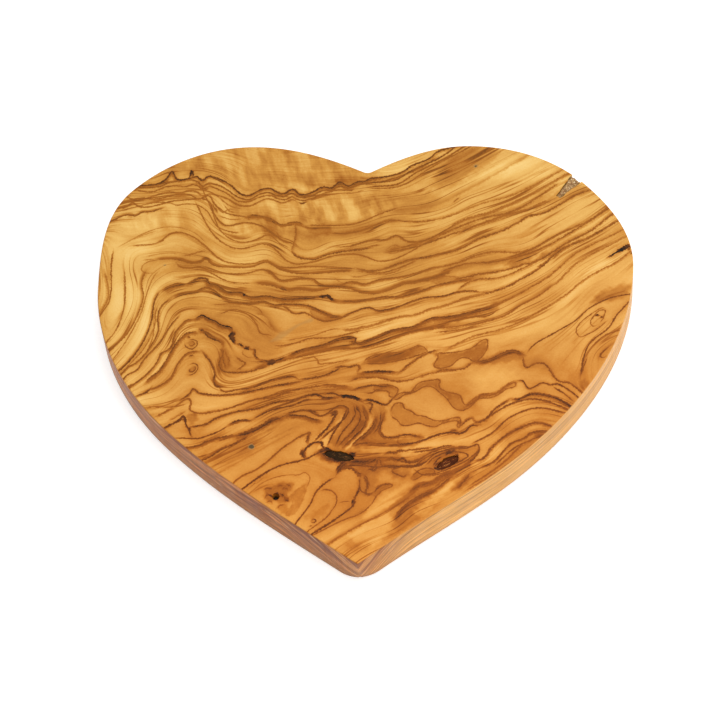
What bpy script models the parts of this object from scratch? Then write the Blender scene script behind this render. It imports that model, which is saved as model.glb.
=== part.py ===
"""Heart-shaped breakfast board, cut from one plank of olive wood.

The plank is the main piece. Three natural pockets in it hold something that
isn't sound wood: a grey fill at the rim of the right lobe, and two bark
inclusions in the lower half. Each of those is a body of its own in its seat.

Lengths are in metres. +Z is up, +Y runs from the tip to the cleft, and the
origin lies under the middle of the board, on the surface it rests on.
"""
import math

import bmesh
import bpy
from mathutils import Matrix, Vector

# The plank
BOARD_WIDTH = 0.220
BOARD_LENGTH = 0.193
BOARD_THICKNESS = 0.020
TOP_ARRIS = 0.0006
BOTTOM_ROUND = 0.0015
TIP_ROUND = 0.0010
CLEFT_ROUND = 0.0020

# The outline was sawn freehand, so its two halves differ by a few millimetres.
# OUT is from the centre line, IN from the side, DROP from the crowns, RISE from the tip.
CLEFT_DROP = 0.0134
RIGHT_CROWN_OUT = 0.0414
RIGHT_SHOULDER_IN = 0.0196
RIGHT_SHOULDER_DROP = 0.0189
RIGHT_SIDE_DROP = 0.0569
RIGHT_HAUNCH_IN = 0.0392
RIGHT_HAUNCH_RISE = 0.0548
RIGHT_CLEFT_SLOPE = 28.9
RIGHT_TIP_SLOPE = 39.3
LEFT_CROWN_OUT = 0.0482
LEFT_SHOULDER_IN = 0.0116
LEFT_SHOULDER_DROP = 0.0214
LEFT_SIDE_DROP = 0.0677
LEFT_HAUNCH_IN = 0.0300
LEFT_HAUNCH_RISE = 0.0607
LEFT_CLEFT_SLOPE = 26.0
LEFT_TIP_SLOPE = 34.8

# Gap between a body and its seat in the plank
SEAT_GAP = 0.0003

# The fill in the rim pocket, a wedge that narrows inwards from the rim
FILL_PLACE = 0.92
FILL_LENGTH = 0.0119
FILL_MOUTH = 0.0048
FILL_END = 0.0016
FILL_DEPTH = 0.0080
FILL_RECESS = 0.0008

# The bark inclusions, upright oval bodies that lie a little below the top
BARK_SINK = 0.0002
BARK_DEPTH = 0.0060
CENTRE_BARK_OUT = -0.0085
CENTRE_BARK_RISE = 0.0479
CENTRE_BARK_LENGTH = 0.0116
CENTRE_BARK_WIDTH = 0.0036
CENTRE_BARK_TURN = -13.0
RIGHT_BARK_OUT = 0.0350
RIGHT_BARK_RISE = 0.0449
RIGHT_BARK_LENGTH = 0.0090
RIGHT_BARK_WIDTH = 0.0038
RIGHT_BARK_TURN = 32.0

# The drying crack that opens at the rim of the right lobe
CRACK_PLACE = 0.80
CRACK_LENGTH = 0.0108
CRACK_WIDTH = 0.0011
CRACK_DEPTH = 0.0060
CRACK_LEAN = 19.0

# The open pit in the knot beside the left flank
PIT_PLACE = 0.44
PIT_INSET = 0.0055
PIT_RADIUS = 0.0018
PIT_FLOOR_RADIUS = 0.0008
PIT_DEPTH = 0.0025

# Mesh steps, and how far a cutter stands clear of the face it enters
OUTLINE_STEPS = 12
ROUND_STEPS = 4
OVAL_SIDES = 28
PIT_SIDES = 16
CUT_CLEAR = 0.0010
WELD = 1e-6

SMOOTH_BELOW = 30.0

# Colour and roughness of each finish
OLIVE_WOOD = ((0.60, 0.29, 0.075, 1.0), 0.45)
RIM_FILL = ((0.42, 0.27, 0.15, 1.0), 0.70)
BARK = ((0.045, 0.022, 0.012, 1.0), 0.60)

# Headings of the outline, in degrees, at the stops between the cleft and the tip
CROWN_HEADING = 0.0
SHOULDER_HEADING = -45.0
SIDE_HEADING = -90.0
HAUNCH_HEADING = -135.0
TIP_HEADING = -180.0

# Rounding the tip takes a little off it, so the outline's corner lies that much beyond the length
TIP_HALF_ANGLE = math.radians(90.0 - (RIGHT_TIP_SLOPE + LEFT_TIP_SLOPE) / 2)
TIP_TRIM = TIP_ROUND * (1 / math.cos(TIP_HALF_ANGLE) - math.tan(TIP_HALF_ANGLE))
CROWN_Y = BOARD_LENGTH / 2
TIP_Y = -BOARD_LENGTH / 2 - TIP_TRIM
SIDE_X = BOARD_WIDTH / 2


def clear_scene():
    for obj in list(bpy.data.objects):
        bpy.data.objects.remove(obj, do_unlink=True)


def new_collection(name):
    collection = bpy.data.collections.new(name)
    bpy.context.scene.collection.children.link(collection)
    return collection


def wood_material(name, colour_and_roughness):
    colour, roughness = colour_and_roughness
    material = bpy.data.materials.new(name)
    material.use_nodes = True
    shader = material.node_tree.nodes["Principled BSDF"]
    shader.inputs["Base Color"].default_value = colour
    shader.inputs["Roughness"].default_value = roughness
    shader.inputs["Metallic"].default_value = 0.0
    return material


def direction(degrees):
    angle = math.radians(degrees)
    return Vector((math.cos(angle), math.sin(angle)))


def round_stretch(start, start_heading, end, end_heading):
    """Bezier stretch between two headings, with the handles that a circular arc would have."""
    turn = math.radians(end_heading - start_heading)
    handle = (end - start).length / (3 * math.cos(turn / 4) ** 2)
    return (start, start + handle * direction(start_heading), end - handle * direction(end_heading), end)


def half_outline(crown_out, shoulder_in, shoulder_drop, side_drop, haunch_in, haunch_rise,
                 cleft_slope, tip_slope):
    """Stretches from the cleft, over the crown and down the +X side to the tip."""
    stops = [
        (Vector((0.0, CROWN_Y - CLEFT_DROP)), cleft_slope),
        (Vector((crown_out, CROWN_Y)), CROWN_HEADING),
        (Vector((SIDE_X - shoulder_in, CROWN_Y - shoulder_drop)), SHOULDER_HEADING),
        (Vector((SIDE_X, CROWN_Y - side_drop)), SIDE_HEADING),
        (Vector((SIDE_X - haunch_in, TIP_Y + haunch_rise)), HAUNCH_HEADING),
        (Vector((0.0, TIP_Y)), TIP_HEADING + tip_slope),
    ]
    return [round_stretch(*here, *after) for here, after in zip(stops, stops[1:])]


def heart_outline():
    """All stretches, clockwise from the cleft; the left half is made on +X and mirrored."""
    right = half_outline(RIGHT_CROWN_OUT, RIGHT_SHOULDER_IN, RIGHT_SHOULDER_DROP, RIGHT_SIDE_DROP,
                         RIGHT_HAUNCH_IN, RIGHT_HAUNCH_RISE, RIGHT_CLEFT_SLOPE, RIGHT_TIP_SLOPE)
    left = half_outline(LEFT_CROWN_OUT, LEFT_SHOULDER_IN, LEFT_SHOULDER_DROP, LEFT_SIDE_DROP,
                        LEFT_HAUNCH_IN, LEFT_HAUNCH_RISE, LEFT_CLEFT_SLOPE, LEFT_TIP_SLOPE)
    mirrored = [tuple(Vector((-p.x, p.y)) for p in reversed(stretch)) for stretch in reversed(left)]
    return right + mirrored


def on_rim(stretch, share):
    """A point at a share of a stretch, and the direction there that points into the board."""
    a, b, c, d = stretch
    rest = 1.0 - share
    point = rest ** 3 * a + 3 * rest ** 2 * share * b + 3 * rest * share ** 2 * c + share ** 3 * d
    along = rest ** 2 * (b - a) + 2 * rest * share * (c - b) + share ** 2 * (d - c)
    inward = Vector((along.y, -along.x)).normalized()
    return point, inward


def mesh_object(name, bm, collection):
    mesh = bpy.data.meshes.new(name)
    bmesh.ops.recalc_face_normals(bm, faces=bm.faces)
    bm.to_mesh(mesh)
    bm.free()
    obj = bpy.data.objects.new(name, mesh)
    collection.objects.link(obj)
    return obj


def mesh_from_curve(curve_object, collection):
    """The filled curve as a plain mesh with its caps welded and each cap one face."""
    bpy.context.view_layer.update()
    evaluated = curve_object.evaluated_get(bpy.context.evaluated_depsgraph_get())
    mesh = bpy.data.meshes.new_from_object(evaluated)
    name = curve_object.name
    place = curve_object.matrix_world.copy()
    bpy.data.objects.remove(curve_object, do_unlink=True)
    bm = bmesh.new()
    bm.from_mesh(mesh)
    bmesh.ops.remove_doubles(bm, verts=bm.verts, dist=WELD)
    cap_edges = [e for e in bm.edges if all(abs(f.normal.z) > 0.5 for f in e.link_faces)]
    bmesh.ops.dissolve_edges(bm, edges=cap_edges, use_verts=False)
    bpy.data.meshes.remove(mesh)
    obj = mesh_object(name, bm, collection)
    obj.matrix_world = place
    return obj


def flat_curve(name, thickness, collection):
    curve = bpy.data.curves.new(name, "CURVE")
    curve.dimensions = "2D"
    curve.fill_mode = "BOTH"
    curve.extrude = thickness / 2
    curve.resolution_u = OUTLINE_STEPS
    obj = bpy.data.objects.new(name, curve)
    collection.objects.link(obj)
    return obj


def weigh_rims(board):
    """Bevel weights: top arris, bottom round, and the upright edges at the tip and in the cleft."""
    widest = max(TOP_ARRIS, BOTTOM_ROUND, TIP_ROUND, CLEFT_ROUND)
    bm = bmesh.new()
    bm.from_mesh(board.data)
    weight = bm.edges.layers.float.new("bevel_weight_edge")
    for edge in bm.edges:
        ends = [v.co for v in edge.verts]
        middle = (ends[0] + ends[1]) / 2
        upright = abs(ends[0].z - ends[1].z) > BOARD_THICKNESS / 2
        if not upright:
            edge[weight] = (TOP_ARRIS if middle.z > 0 else BOTTOM_ROUND) / widest
        elif abs(middle.x) < WELD:
            edge[weight] = (TIP_ROUND if middle.y < 0 else CLEFT_ROUND) / widest
    bm.to_mesh(board.data)
    bm.free()
    return widest


def make_blank(outline, collection):
    """The plank sawn to the heart, with its edges eased."""
    obj = flat_curve("heart_board", BOARD_THICKNESS, collection)
    spline = obj.data.splines.new("BEZIER")
    spline.bezier_points.add(len(outline) - 1)
    spline.use_cyclic_u = True
    for index, (start, leaving, arriving, _) in enumerate(outline):
        here = spline.bezier_points[index]
        after = spline.bezier_points[(index + 1) % len(outline)]
        here.handle_left_type = "FREE"
        here.handle_right_type = "FREE"
        here.co = (*start, 0.0)
        here.handle_right = (*leaving, 0.0)
        after.handle_left = (*arriving, 0.0)
    obj.location.z = BOARD_THICKNESS / 2
    board = mesh_from_curve(obj, collection)
    widest = weigh_rims(board)
    ease = board.modifiers.new("eased edges", "BEVEL")
    ease.limit_method = "WEIGHT"
    ease.offset_type = "OFFSET"
    ease.width = widest
    ease.segments = ROUND_STEPS
    ease.use_clamp_overlap = True
    return board


def cut(board, cutter, name):
    modifier = board.modifiers.new(name, "BOOLEAN")
    modifier.operation = "DIFFERENCE"
    modifier.object = cutter
    cutter.hide_render = True
    cutter.display_type = "WIRE"


def wedge(name, mouth, inward, near, far, grow, bottom, top, collection):
    """Flat wedge from near to far, measured inwards from the rim, with grow added to each flank."""
    slope = (FILL_MOUTH - FILL_END) / 2 / FILL_LENGTH
    across = Vector((-inward.y, inward.x))
    corners = []
    for depth, side in ((near, -1), (far, -1), (far, 1), (near, 1)):
        half_width = FILL_MOUTH / 2 - slope * depth + grow
        corners.append(mouth + depth * inward + side * half_width * across)
    obj = flat_curve(name, top - bottom, collection)
    spline = obj.data.splines.new("POLY")
    spline.points.add(len(corners) - 1)
    spline.use_cyclic_u = True
    for point, corner in zip(spline.points, corners):
        point.co = (*corner, 0.0, 1.0)
    obj.location.z = (bottom + top) / 2
    return mesh_from_curve(obj, collection)


def add_rim_fill(board, outline, parts, cutters):
    mouth, inward = on_rim(outline[1], FILL_PLACE)
    floor = BOARD_THICKNESS - FILL_DEPTH
    fill = wedge("rim_pocket_fill", mouth, inward, FILL_RECESS, FILL_LENGTH, 0.0,
                 floor, BOARD_THICKNESS, parts)
    seat = wedge("rim_pocket", mouth, inward, -CUT_CLEAR, FILL_LENGTH + SEAT_GAP, SEAT_GAP,
                 floor - SEAT_GAP, BOARD_THICKNESS + CUT_CLEAR, cutters)
    cut(board, seat, "rim pocket")
    return fill


def oval(name, centre, length, width, turn, bottom, top, collection):
    bm = bmesh.new()
    bmesh.ops.create_cone(bm, cap_ends=True, segments=OVAL_SIDES, radius1=1.0, radius2=1.0, depth=1.0)
    size = Matrix.Diagonal((length / 2, width / 2, top - bottom, 1.0))
    turned = Matrix.Rotation(math.radians(turn), 4, "Z")
    bm.transform(turned @ size)
    obj = mesh_object(name, bm, collection)
    obj.location = (centre.x, centre.y, (bottom + top) / 2)
    return obj


def add_bark(board, name, out, rise, length, width, turn, parts, cutters):
    centre = Vector((out, TIP_Y + rise))
    top = BOARD_THICKNESS - BARK_SINK
    floor = top - BARK_DEPTH
    bark = oval(name, centre, length, width, turn, floor, top, parts)
    seat = oval(name + "_seat", centre, length + 2 * SEAT_GAP, width + 2 * SEAT_GAP, turn,
                floor - SEAT_GAP, BOARD_THICKNESS + CUT_CLEAR, cutters)
    cut(board, seat, name + " seat")
    return bark


def cut_crack(board, outline, cutters):
    """A rhombus pyramid, widest at the rim on the top face, with its point inside the board."""
    mouth, inward = on_rim(outline[2], CRACK_PLACE)
    inward = Matrix.Rotation(math.radians(CRACK_LEAN), 2) @ inward
    reach = CRACK_LENGTH + CUT_CLEAR
    growth = reach / CRACK_LENGTH
    along = Vector((*inward, 0.0))
    up = Vector((0.0, 0.0, 1.0))
    across = up.cross(along)
    size = Matrix.Diagonal((CRACK_WIDTH / 2 * growth, CRACK_DEPTH * growth, reach, 1.0))
    axes = Matrix((across, up, along)).transposed().to_4x4()
    bm = bmesh.new()
    bmesh.ops.create_cone(bm, cap_ends=True, segments=4, radius1=1.0, radius2=0.0, depth=1.0)
    bmesh.ops.remove_doubles(bm, verts=bm.verts, dist=WELD)
    bm.transform(axes @ size)
    crack = mesh_object("crack", bm, cutters)
    middle = mouth + inward * (reach / 2 - CUT_CLEAR)
    crack.location = (middle.x, middle.y, BOARD_THICKNESS)
    cut(board, crack, "crack")


def cut_pit(board, outline, cutters):
    rim, inward = on_rim(outline[5], PIT_PLACE)
    centre = rim + PIT_INSET * inward
    height = PIT_DEPTH + CUT_CLEAR
    bm = bmesh.new()
    bmesh.ops.create_cone(bm, cap_ends=True, segments=PIT_SIDES, radius1=PIT_FLOOR_RADIUS,
                          radius2=PIT_RADIUS, depth=height)
    pit = mesh_object("knot_pit", bm, cutters)
    pit.location = (centre.x, centre.y, BOARD_THICKNESS - PIT_DEPTH + height / 2)
    cut(board, pit, "knot pit")


def finish(obj, material):
    obj.data.materials.clear()
    obj.data.materials.append(material)
    obj.data.shade_smooth()
    obj.data.set_sharp_from_angle(angle=math.radians(SMOOTH_BELOW))


def main():
    clear_scene()
    parts = new_collection("heart_breakfast_board")
    cutters = new_collection("cutters")
    outline = heart_outline()
    board = make_blank(outline, parts)
    fill = add_rim_fill(board, outline, parts, cutters)
    centre_bark = add_bark(board, "centre_bark_inclusion", CENTRE_BARK_OUT, CENTRE_BARK_RISE,
                           CENTRE_BARK_LENGTH, CENTRE_BARK_WIDTH, CENTRE_BARK_TURN, parts, cutters)
    right_bark = add_bark(board, "right_bark_inclusion", RIGHT_BARK_OUT, RIGHT_BARK_RISE,
                          RIGHT_BARK_LENGTH, RIGHT_BARK_WIDTH, RIGHT_BARK_TURN, parts, cutters)
    cut_crack(board, outline, cutters)
    cut_pit(board, outline, cutters)
    finish(board, wood_material("olive_wood", OLIVE_WOOD))
    finish(fill, wood_material("rim_fill", RIM_FILL))
    finish(centre_bark, wood_material("centre_bark", BARK))
    finish(right_bark, wood_material("right_bark", BARK))


main()
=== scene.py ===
# %% [markdown]
# # A heart-shaped breakfast board of olive wood
#
# The board is one plank, sawn to a heart and oiled. Its whole look is grain, so most of this lesson is
# about drawing grain that runs where the real plank's grain runs. The measured solids of the board are
# loaded first and stay as they are. Finer meshes are then built over them from the same sizes.

# %% Load the measured board
import math

import bmesh
import bpy
import numpy as np
from mathutils import Matrix, Vector
from mathutils.geometry import delaunay_2d_cdt


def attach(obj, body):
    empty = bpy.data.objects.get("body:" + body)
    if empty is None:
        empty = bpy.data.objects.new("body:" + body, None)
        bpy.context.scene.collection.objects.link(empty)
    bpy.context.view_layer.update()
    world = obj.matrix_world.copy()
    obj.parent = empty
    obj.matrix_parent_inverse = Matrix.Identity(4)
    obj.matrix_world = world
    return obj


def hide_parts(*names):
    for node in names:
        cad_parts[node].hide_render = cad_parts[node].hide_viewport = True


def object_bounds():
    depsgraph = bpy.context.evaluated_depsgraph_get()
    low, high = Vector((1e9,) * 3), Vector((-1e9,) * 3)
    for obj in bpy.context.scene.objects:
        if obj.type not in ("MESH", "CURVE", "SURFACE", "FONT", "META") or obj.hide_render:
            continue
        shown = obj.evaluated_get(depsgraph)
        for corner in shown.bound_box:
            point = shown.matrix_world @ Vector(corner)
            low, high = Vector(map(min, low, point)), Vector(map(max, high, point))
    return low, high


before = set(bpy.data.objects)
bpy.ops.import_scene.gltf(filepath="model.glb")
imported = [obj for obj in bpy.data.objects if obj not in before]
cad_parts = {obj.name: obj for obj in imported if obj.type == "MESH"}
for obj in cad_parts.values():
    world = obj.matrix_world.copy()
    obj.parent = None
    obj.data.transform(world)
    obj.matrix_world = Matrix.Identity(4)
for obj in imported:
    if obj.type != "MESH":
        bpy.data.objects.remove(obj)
cad_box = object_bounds()
print("nodes:", sorted(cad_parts))

# %% [markdown]
# ## The outline
#
# The heart was sawn freehand, so its halves differ by a few millimetres. Each half is five round stretches
# between places where the edge's heading is known. A Bezier stretch with the handles of a circular arc
# gives a fair curve through them, which a long list of points would not.

# %% Sizes of the plank, in metres, and headings, in degrees
BOARD_WIDTH = 0.220
BOARD_LENGTH = 0.193
THICKNESS = 0.020
TOP_ARRIS = 0.0006
BOTTOM_ROUND = 0.0015
TIP_ROUND = 0.0010
CLEFT_ROUND = 0.0020
CLEFT_DROP = 0.0134
RIGHT_HALF = dict(crown_out=0.0414, shoulder_in=0.0196, shoulder_drop=0.0189, side_drop=0.0569,
                  haunch_in=0.0392, haunch_rise=0.0548, cleft_slope=28.9, tip_slope=39.3)
LEFT_HALF = dict(crown_out=0.0482, shoulder_in=0.0116, shoulder_drop=0.0214, side_drop=0.0677,
                 haunch_in=0.0300, haunch_rise=0.0607, cleft_slope=26.0, tip_slope=34.8)
TIP_HALF_ANGLE = math.radians(90 - (RIGHT_HALF["tip_slope"] + LEFT_HALF["tip_slope"]) / 2)
TIP_TRIM = TIP_ROUND * (1 / math.cos(TIP_HALF_ANGLE) - math.tan(TIP_HALF_ANGLE))
CROWN_Y = BOARD_LENGTH / 2
TIP_Y = -BOARD_LENGTH / 2 - TIP_TRIM
SIDE_X = BOARD_WIDTH / 2


# %% Stretches of the outline
def direction(degrees):
    angle = math.radians(degrees)
    return Vector((math.cos(angle), math.sin(angle)))


def round_stretch(start, start_heading, end, end_heading):
    """The four Bezier points of a stretch that comes close to a circular arc."""
    turn = math.radians(end_heading - start_heading)
    handle = (end - start).length / (3 * math.cos(turn / 4) ** 2)
    return start, start + handle * direction(start_heading), end - handle * direction(end_heading), end


def half_outline(crown_out, shoulder_in, shoulder_drop, side_drop, haunch_in, haunch_rise, cleft_slope,
                 tip_slope):
    """The stretches of a right half, from the cleft over crown, shoulder, side and haunch to the tip."""
    stops = [
        (Vector((0, CROWN_Y - CLEFT_DROP)), cleft_slope),
        (Vector((crown_out, CROWN_Y)), 0),
        (Vector((SIDE_X - shoulder_in, CROWN_Y - shoulder_drop)), -45),
        (Vector((SIDE_X, CROWN_Y - side_drop)), -90),
        (Vector((SIDE_X - haunch_in, TIP_Y + haunch_rise)), -135),
        (Vector((0, TIP_Y)), tip_slope - 180),
    ]
    return [round_stretch(*here, *after) for here, after in zip(stops, stops[1:])]


def on_stretch(stretch, share):
    """Point at a share of a stretch, and the direction there that points into the board."""
    a, b, c, d = stretch
    rest = 1 - share
    point = rest ** 3 * a + 3 * rest ** 2 * share * b + 3 * rest * share ** 2 * c + share ** 3 * d
    along = rest ** 2 * (b - a) + 2 * rest * share * (c - b) + share ** 2 * (d - c)
    return point, Vector((along.y, -along.x)).normalized()


right_stretches = half_outline(**RIGHT_HALF)
left_stretches = [tuple(Vector((-p.x, p.y)) for p in reversed(stretch))
                  for stretch in reversed(half_outline(**LEFT_HALF))]
stretches = right_stretches + left_stretches

# %% One closed ring of points, with the tip and the cleft rounded
OUTLINE_STEP = 0.0008
FINE_STEPS = 200
CORNER_STEPS = 8


def walk(stretch_list, trim_start, trim_end):
    """Evenly spaced points along some stretches, less a trim at either end."""
    fine = [on_stretch(s, i / FINE_STEPS)[0] for s in stretch_list for i in range(FINE_STEPS)]
    fine = np.array([tuple(p) for p in fine + [stretch_list[-1][3]]])
    length = np.concatenate([[0], np.cumsum(np.hypot(*np.diff(fine, axis=0).T))])
    count = int((length[-1] - trim_start - trim_end) / OUTLINE_STEP)
    stations = np.linspace(trim_start, length[-1] - trim_end, count)
    return np.stack([np.interp(stations, length, fine[:, 0]), np.interp(stations, length, fine[:, 1])], 1)


def rounded_corner(before, corner, after):
    """Points of a round corner strictly between the last point before it and the first point after it."""
    shares = np.linspace(0, 1, CORNER_STEPS + 1)[1:-1, None]
    return (1 - shares) ** 2 * before + 2 * shares * (1 - shares) * corner + shares ** 2 * after


right_side = walk(right_stretches, CLEFT_ROUND, TIP_ROUND)
left_side = walk(left_stretches, TIP_ROUND, CLEFT_ROUND)
tip = np.array(right_stretches[-1][3])
cleft = np.array(right_stretches[0][0])
ring = np.concatenate([right_side, rounded_corner(right_side[-1], tip, left_side[0]),
                       left_side, rounded_corner(left_side[-1], cleft, right_side[0])])
ring_along = np.roll(ring, -1, 0) - np.roll(ring, 1, 0)
ring_along /= np.hypot(*ring_along.T)[:, None]
ring_inward = np.stack([ring_along[:, 1], -ring_along[:, 0]], 1)
print("outline points:", len(ring), "size in mm:", np.round(np.ptp(ring, axis=0) * 1000, 2))

# %% [markdown]
# ## The blank
#
# The real board was bandsawn, sanded and had its edges eased. An extruded curve would do for the shape, but
# its flat top would be one large face. The streaks will be stored on the points of the top, so the top needs
# an even net of small faces. The walls are rings of the outline, moved inwards where an edge is eased.

# %% Rings of the walls, from the top face down to the underside
ARRIS_ROWS = 4
WALL_ROWS = 7
BOTTOM_ROWS = 5
TIGHTEST_SHARE = 0.85


def tightest_inset():
    """How far each point may move inwards: a share of the largest circle in the ring that touches it."""
    gap = ring[None] - ring[:, None]
    inwards = np.maximum(np.einsum("ijk,ik->ij", gap, ring_inward), 1e-9)
    radius = (gap ** 2).sum(2) / (2 * inwards)
    np.fill_diagonal(radius, 1.0)
    return TIGHTEST_SHARE * radius.min(1)


limit = tightest_inset()
profile = []
for row in range(ARRIS_ROWS + 1):
    angle = math.pi / 2 * row / ARRIS_ROWS
    profile.append((TOP_ARRIS * (1 - math.sin(angle)), THICKNESS - TOP_ARRIS * (1 - math.cos(angle))))
for row in range(1, WALL_ROWS):
    share = row / WALL_ROWS
    profile.append((0.0, THICKNESS - TOP_ARRIS - share * (THICKNESS - TOP_ARRIS - BOTTOM_ROUND)))
for row in range(BOTTOM_ROWS + 1):
    angle = math.pi / 2 * row / BOTTOM_ROWS
    profile.append((BOTTOM_ROUND * (1 - math.cos(angle)), BOTTOM_ROUND * (1 - math.sin(angle))))

# %% The outline at each height, with the tip worn round
TIP_WEAR = 0.0033
TIP_SLOPE = math.pi / 2 - TIP_HALF_ANGLE
WEAR_RADIUS = TIP_WEAR / (1 / math.cos(TIP_SLOPE) - 1)
WEAR_POWER = 1.5


def ring_at(inset, height):
    """The outline at a height. Its tip is worn round towards the underside, more the lower it is."""
    moved = ring + ring_inward * np.minimum(inset, limit)[:, None]
    beside = np.minimum(np.abs(moved[:, 0]), WEAR_RADIUS * math.sin(TIP_SLOPE))
    worn = WEAR_RADIUS / math.cos(TIP_SLOPE) - np.sqrt(WEAR_RADIUS ** 2 - beside ** 2)
    worn -= beside * math.tan(TIP_SLOPE)
    moved[:, 1] += worn * (moved[:, 1] < 0) * (1 - height / THICKNESS) ** WEAR_POWER
    moved[:, 1] = np.maximum(moved[:, 1], cad_box[0][1])
    return moved


# %% A flat face filled with an even net and a border strip
BORDER_CLEAR = 0.7


def inside(points, polygon):
    """True for each point that lies inside the polygon, by counting crossings of its edges."""
    result = np.zeros(len(points), bool)
    for (ax, ay), (bx, by) in zip(polygon, np.roll(polygon, -1, 0)):
        crosses = (ay > points[:, 1]) != (by > points[:, 1])
        if ay != by:
            result ^= crosses & (points[:, 0] < (bx - ax) * (points[:, 1] - ay) / (by - ay) + ax)
    return result


def filled_face(border, net_step):
    """Points and faces of a net inside a border. The border's own points come first."""
    low = border.min(0) - net_step
    counts = np.ceil((border.max(0) + net_step - low) / net_step).astype(int) + 1
    columns, rows = np.meshgrid(np.arange(counts[0]), np.arange(counts[1]))
    places = low + np.stack([columns.ravel(), rows.ravel()], 1) * net_step
    is_in = inside(places, border)
    near = np.zeros(len(places), bool)
    for point in border:
        cell = np.round((point - low) / net_step).astype(int)
        for dx in (-1, 0, 1):
            for dy in (-1, 0, 1):
                index = (cell[1] + dy) * counts[0] + cell[0] + dx
                near[index] |= np.hypot(*(places[index] - point)) < BORDER_CLEAR * net_step
    kept = (is_in & ~near).reshape(counts[1], counts[0])
    cells = kept[:-1, :-1] & kept[:-1, 1:] & kept[1:, 1:] & kept[1:, :-1]
    used = np.zeros_like(kept)
    for rows_part in (slice(None, -1), slice(1, None)):
        for columns_part in (slice(None, -1), slice(1, None)):
            used[rows_part, columns_part] |= cells
    number = np.full(kept.shape, -1)
    number[used] = len(border) + np.arange(used.sum())
    quads = np.stack([number[:-1, :-1][cells], number[:-1, 1:][cells], number[1:, 1:][cells],
                      number[1:, :-1][cells]], 1)
    points = np.concatenate([border, places.reshape(*kept.shape, 2)[used]])
    padded = np.pad(cells, 1)
    edges = []
    for row, column in np.argwhere(cells):
        corners = (number[row, column], number[row, column + 1],
                   number[row + 1, column + 1], number[row + 1, column])
        neighbours = ((row, column + 1), (row + 1, column + 2), (row + 2, column + 1), (row + 1, column))
        for side, neighbour in enumerate(neighbours):
            if not padded[neighbour]:
                edges.append((corners[side], corners[(side + 1) % 4]))
    strip_points = list(range(len(border))) + sorted({index for edge in edges for index in edge})
    renumber = {index: place for place, index in enumerate(strip_points)}
    strip_edges = [(i, (i + 1) % len(border)) for i in range(len(border))]
    strip_edges += [(renumber[a], renumber[b]) for a, b in edges]
    flat = [Vector(points[index]) for index in strip_points]
    result = delaunay_2d_cdt(flat, strip_edges, [], 0, 1e-9)
    strip = []
    for face in result[2]:
        corners = [strip_points[result[3][v][0]] for v in face]
        middle = points[corners].mean(0)
        column, row = np.floor((middle - low) / net_step).astype(int)
        in_net = 0 <= row < cells.shape[0] and 0 <= column < cells.shape[1] and cells[row, column]
        if not in_net:
            strip.append(corners)
    middles = np.array([points[corners].mean(0) for corners in strip])
    strip = [corners for corners, keep in zip(strip, inside(middles, border)) if keep]
    return points, quads.tolist() + strip


# %% The blank as one closed mesh
TOP_NET = 0.00062
UNDER_NET = 0.0030

top_points, top_faces = filled_face(ring_at(*profile[0]), TOP_NET)
under_points, under_faces = filled_face(ring_at(*profile[-1]), UNDER_NET)
count = len(ring)
points = [np.column_stack([top_points, np.full(len(top_points), profile[0][1])])]
faces = list(top_faces)
first_wall = len(top_points)
for inset, height in profile[1:-1]:
    points.append(np.column_stack([ring_at(inset, height), np.full(count, height)]))
under_start = first_wall + count * (len(profile) - 2)
points.append(np.column_stack([under_points, np.full(len(under_points), profile[-1][1])]))
starts = [0] + [first_wall + count * row for row in range(len(profile) - 2)] + [under_start]
for upper, lower in zip(starts, starts[1:]):
    for here in range(count):
        after = (here + 1) % count
        faces.append((upper + here, upper + after, lower + after, lower + here))
faces += [tuple(under_start + index for index in reversed(face)) for face in under_faces]
blank_mesh = bpy.data.meshes.new("heart_plank")
blank_mesh.from_pydata(np.concatenate(points).tolist(), [], faces)
plank = bpy.data.objects.new("heart_plank", blank_mesh)
bpy.context.scene.collection.objects.link(plank)
tidy = bmesh.new()
tidy.from_mesh(blank_mesh)
bmesh.ops.recalc_face_normals(tidy, faces=tidy.faces)
open_edges = sum(not edge.is_manifold for edge in tidy.edges)
tidy.to_mesh(blank_mesh)
tidy.free()
print("blank:", len(blank_mesh.vertices), "points,", len(blank_mesh.polygons), "faces,", open_edges,
      "open edges")


# %% [markdown]
# ## Pockets, crack and knot pit
#
# Nature left five flaws: a pocket that breaks the rim, two places where bark grew in, a drying crack and the
# open heart of a knot. Each is cut from the plank with a closed cutter and a Boolean. Their edges are wavy,
# because wood tears; a clean oval would look drilled.

# %% Sizes and places of the flaws
SEAT_GAP = 0.0003
CUT_CLEAR = 0.0010
FILL_PLACE = 0.92
FILL_LENGTH = 0.0119
FILL_MOUTH = 0.0048
FILL_END = 0.0016
FILL_DEPTH = 0.0080
FILL_RECESS = 0.0008
BARK_SINK = 0.0002
BARK_DEPTH = 0.0060
CENTRE_BARK = dict(out=-0.0085, rise=0.0479, length=0.0116, width=0.0036, turn=-13.0)
RIGHT_BARK = dict(out=0.0350, rise=0.0449, length=0.0090, width=0.0038, turn=32.0)
CRACK_PLACE = 0.80
CRACK_LENGTH = 0.0108
CRACK_WIDTH = 0.0011
CRACK_DEPTH = 0.0060
CRACK_LEAN = 19.0
CRACK_LIFT = 0.0001
PIT_PLACE = 0.44
PIT_INSET = 0.0055
PIT_RADIUS = 0.0018
PIT_FLOOR_RADIUS = 0.0008
PIT_DEPTH = 0.0025
PIT_SIDES = 24
OVAL_POINTS = 56
WEDGE_STEPS = 14
WAVE = 0.00030
WAVE_COUNTS = (5, 8, 13, 17)


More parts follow.
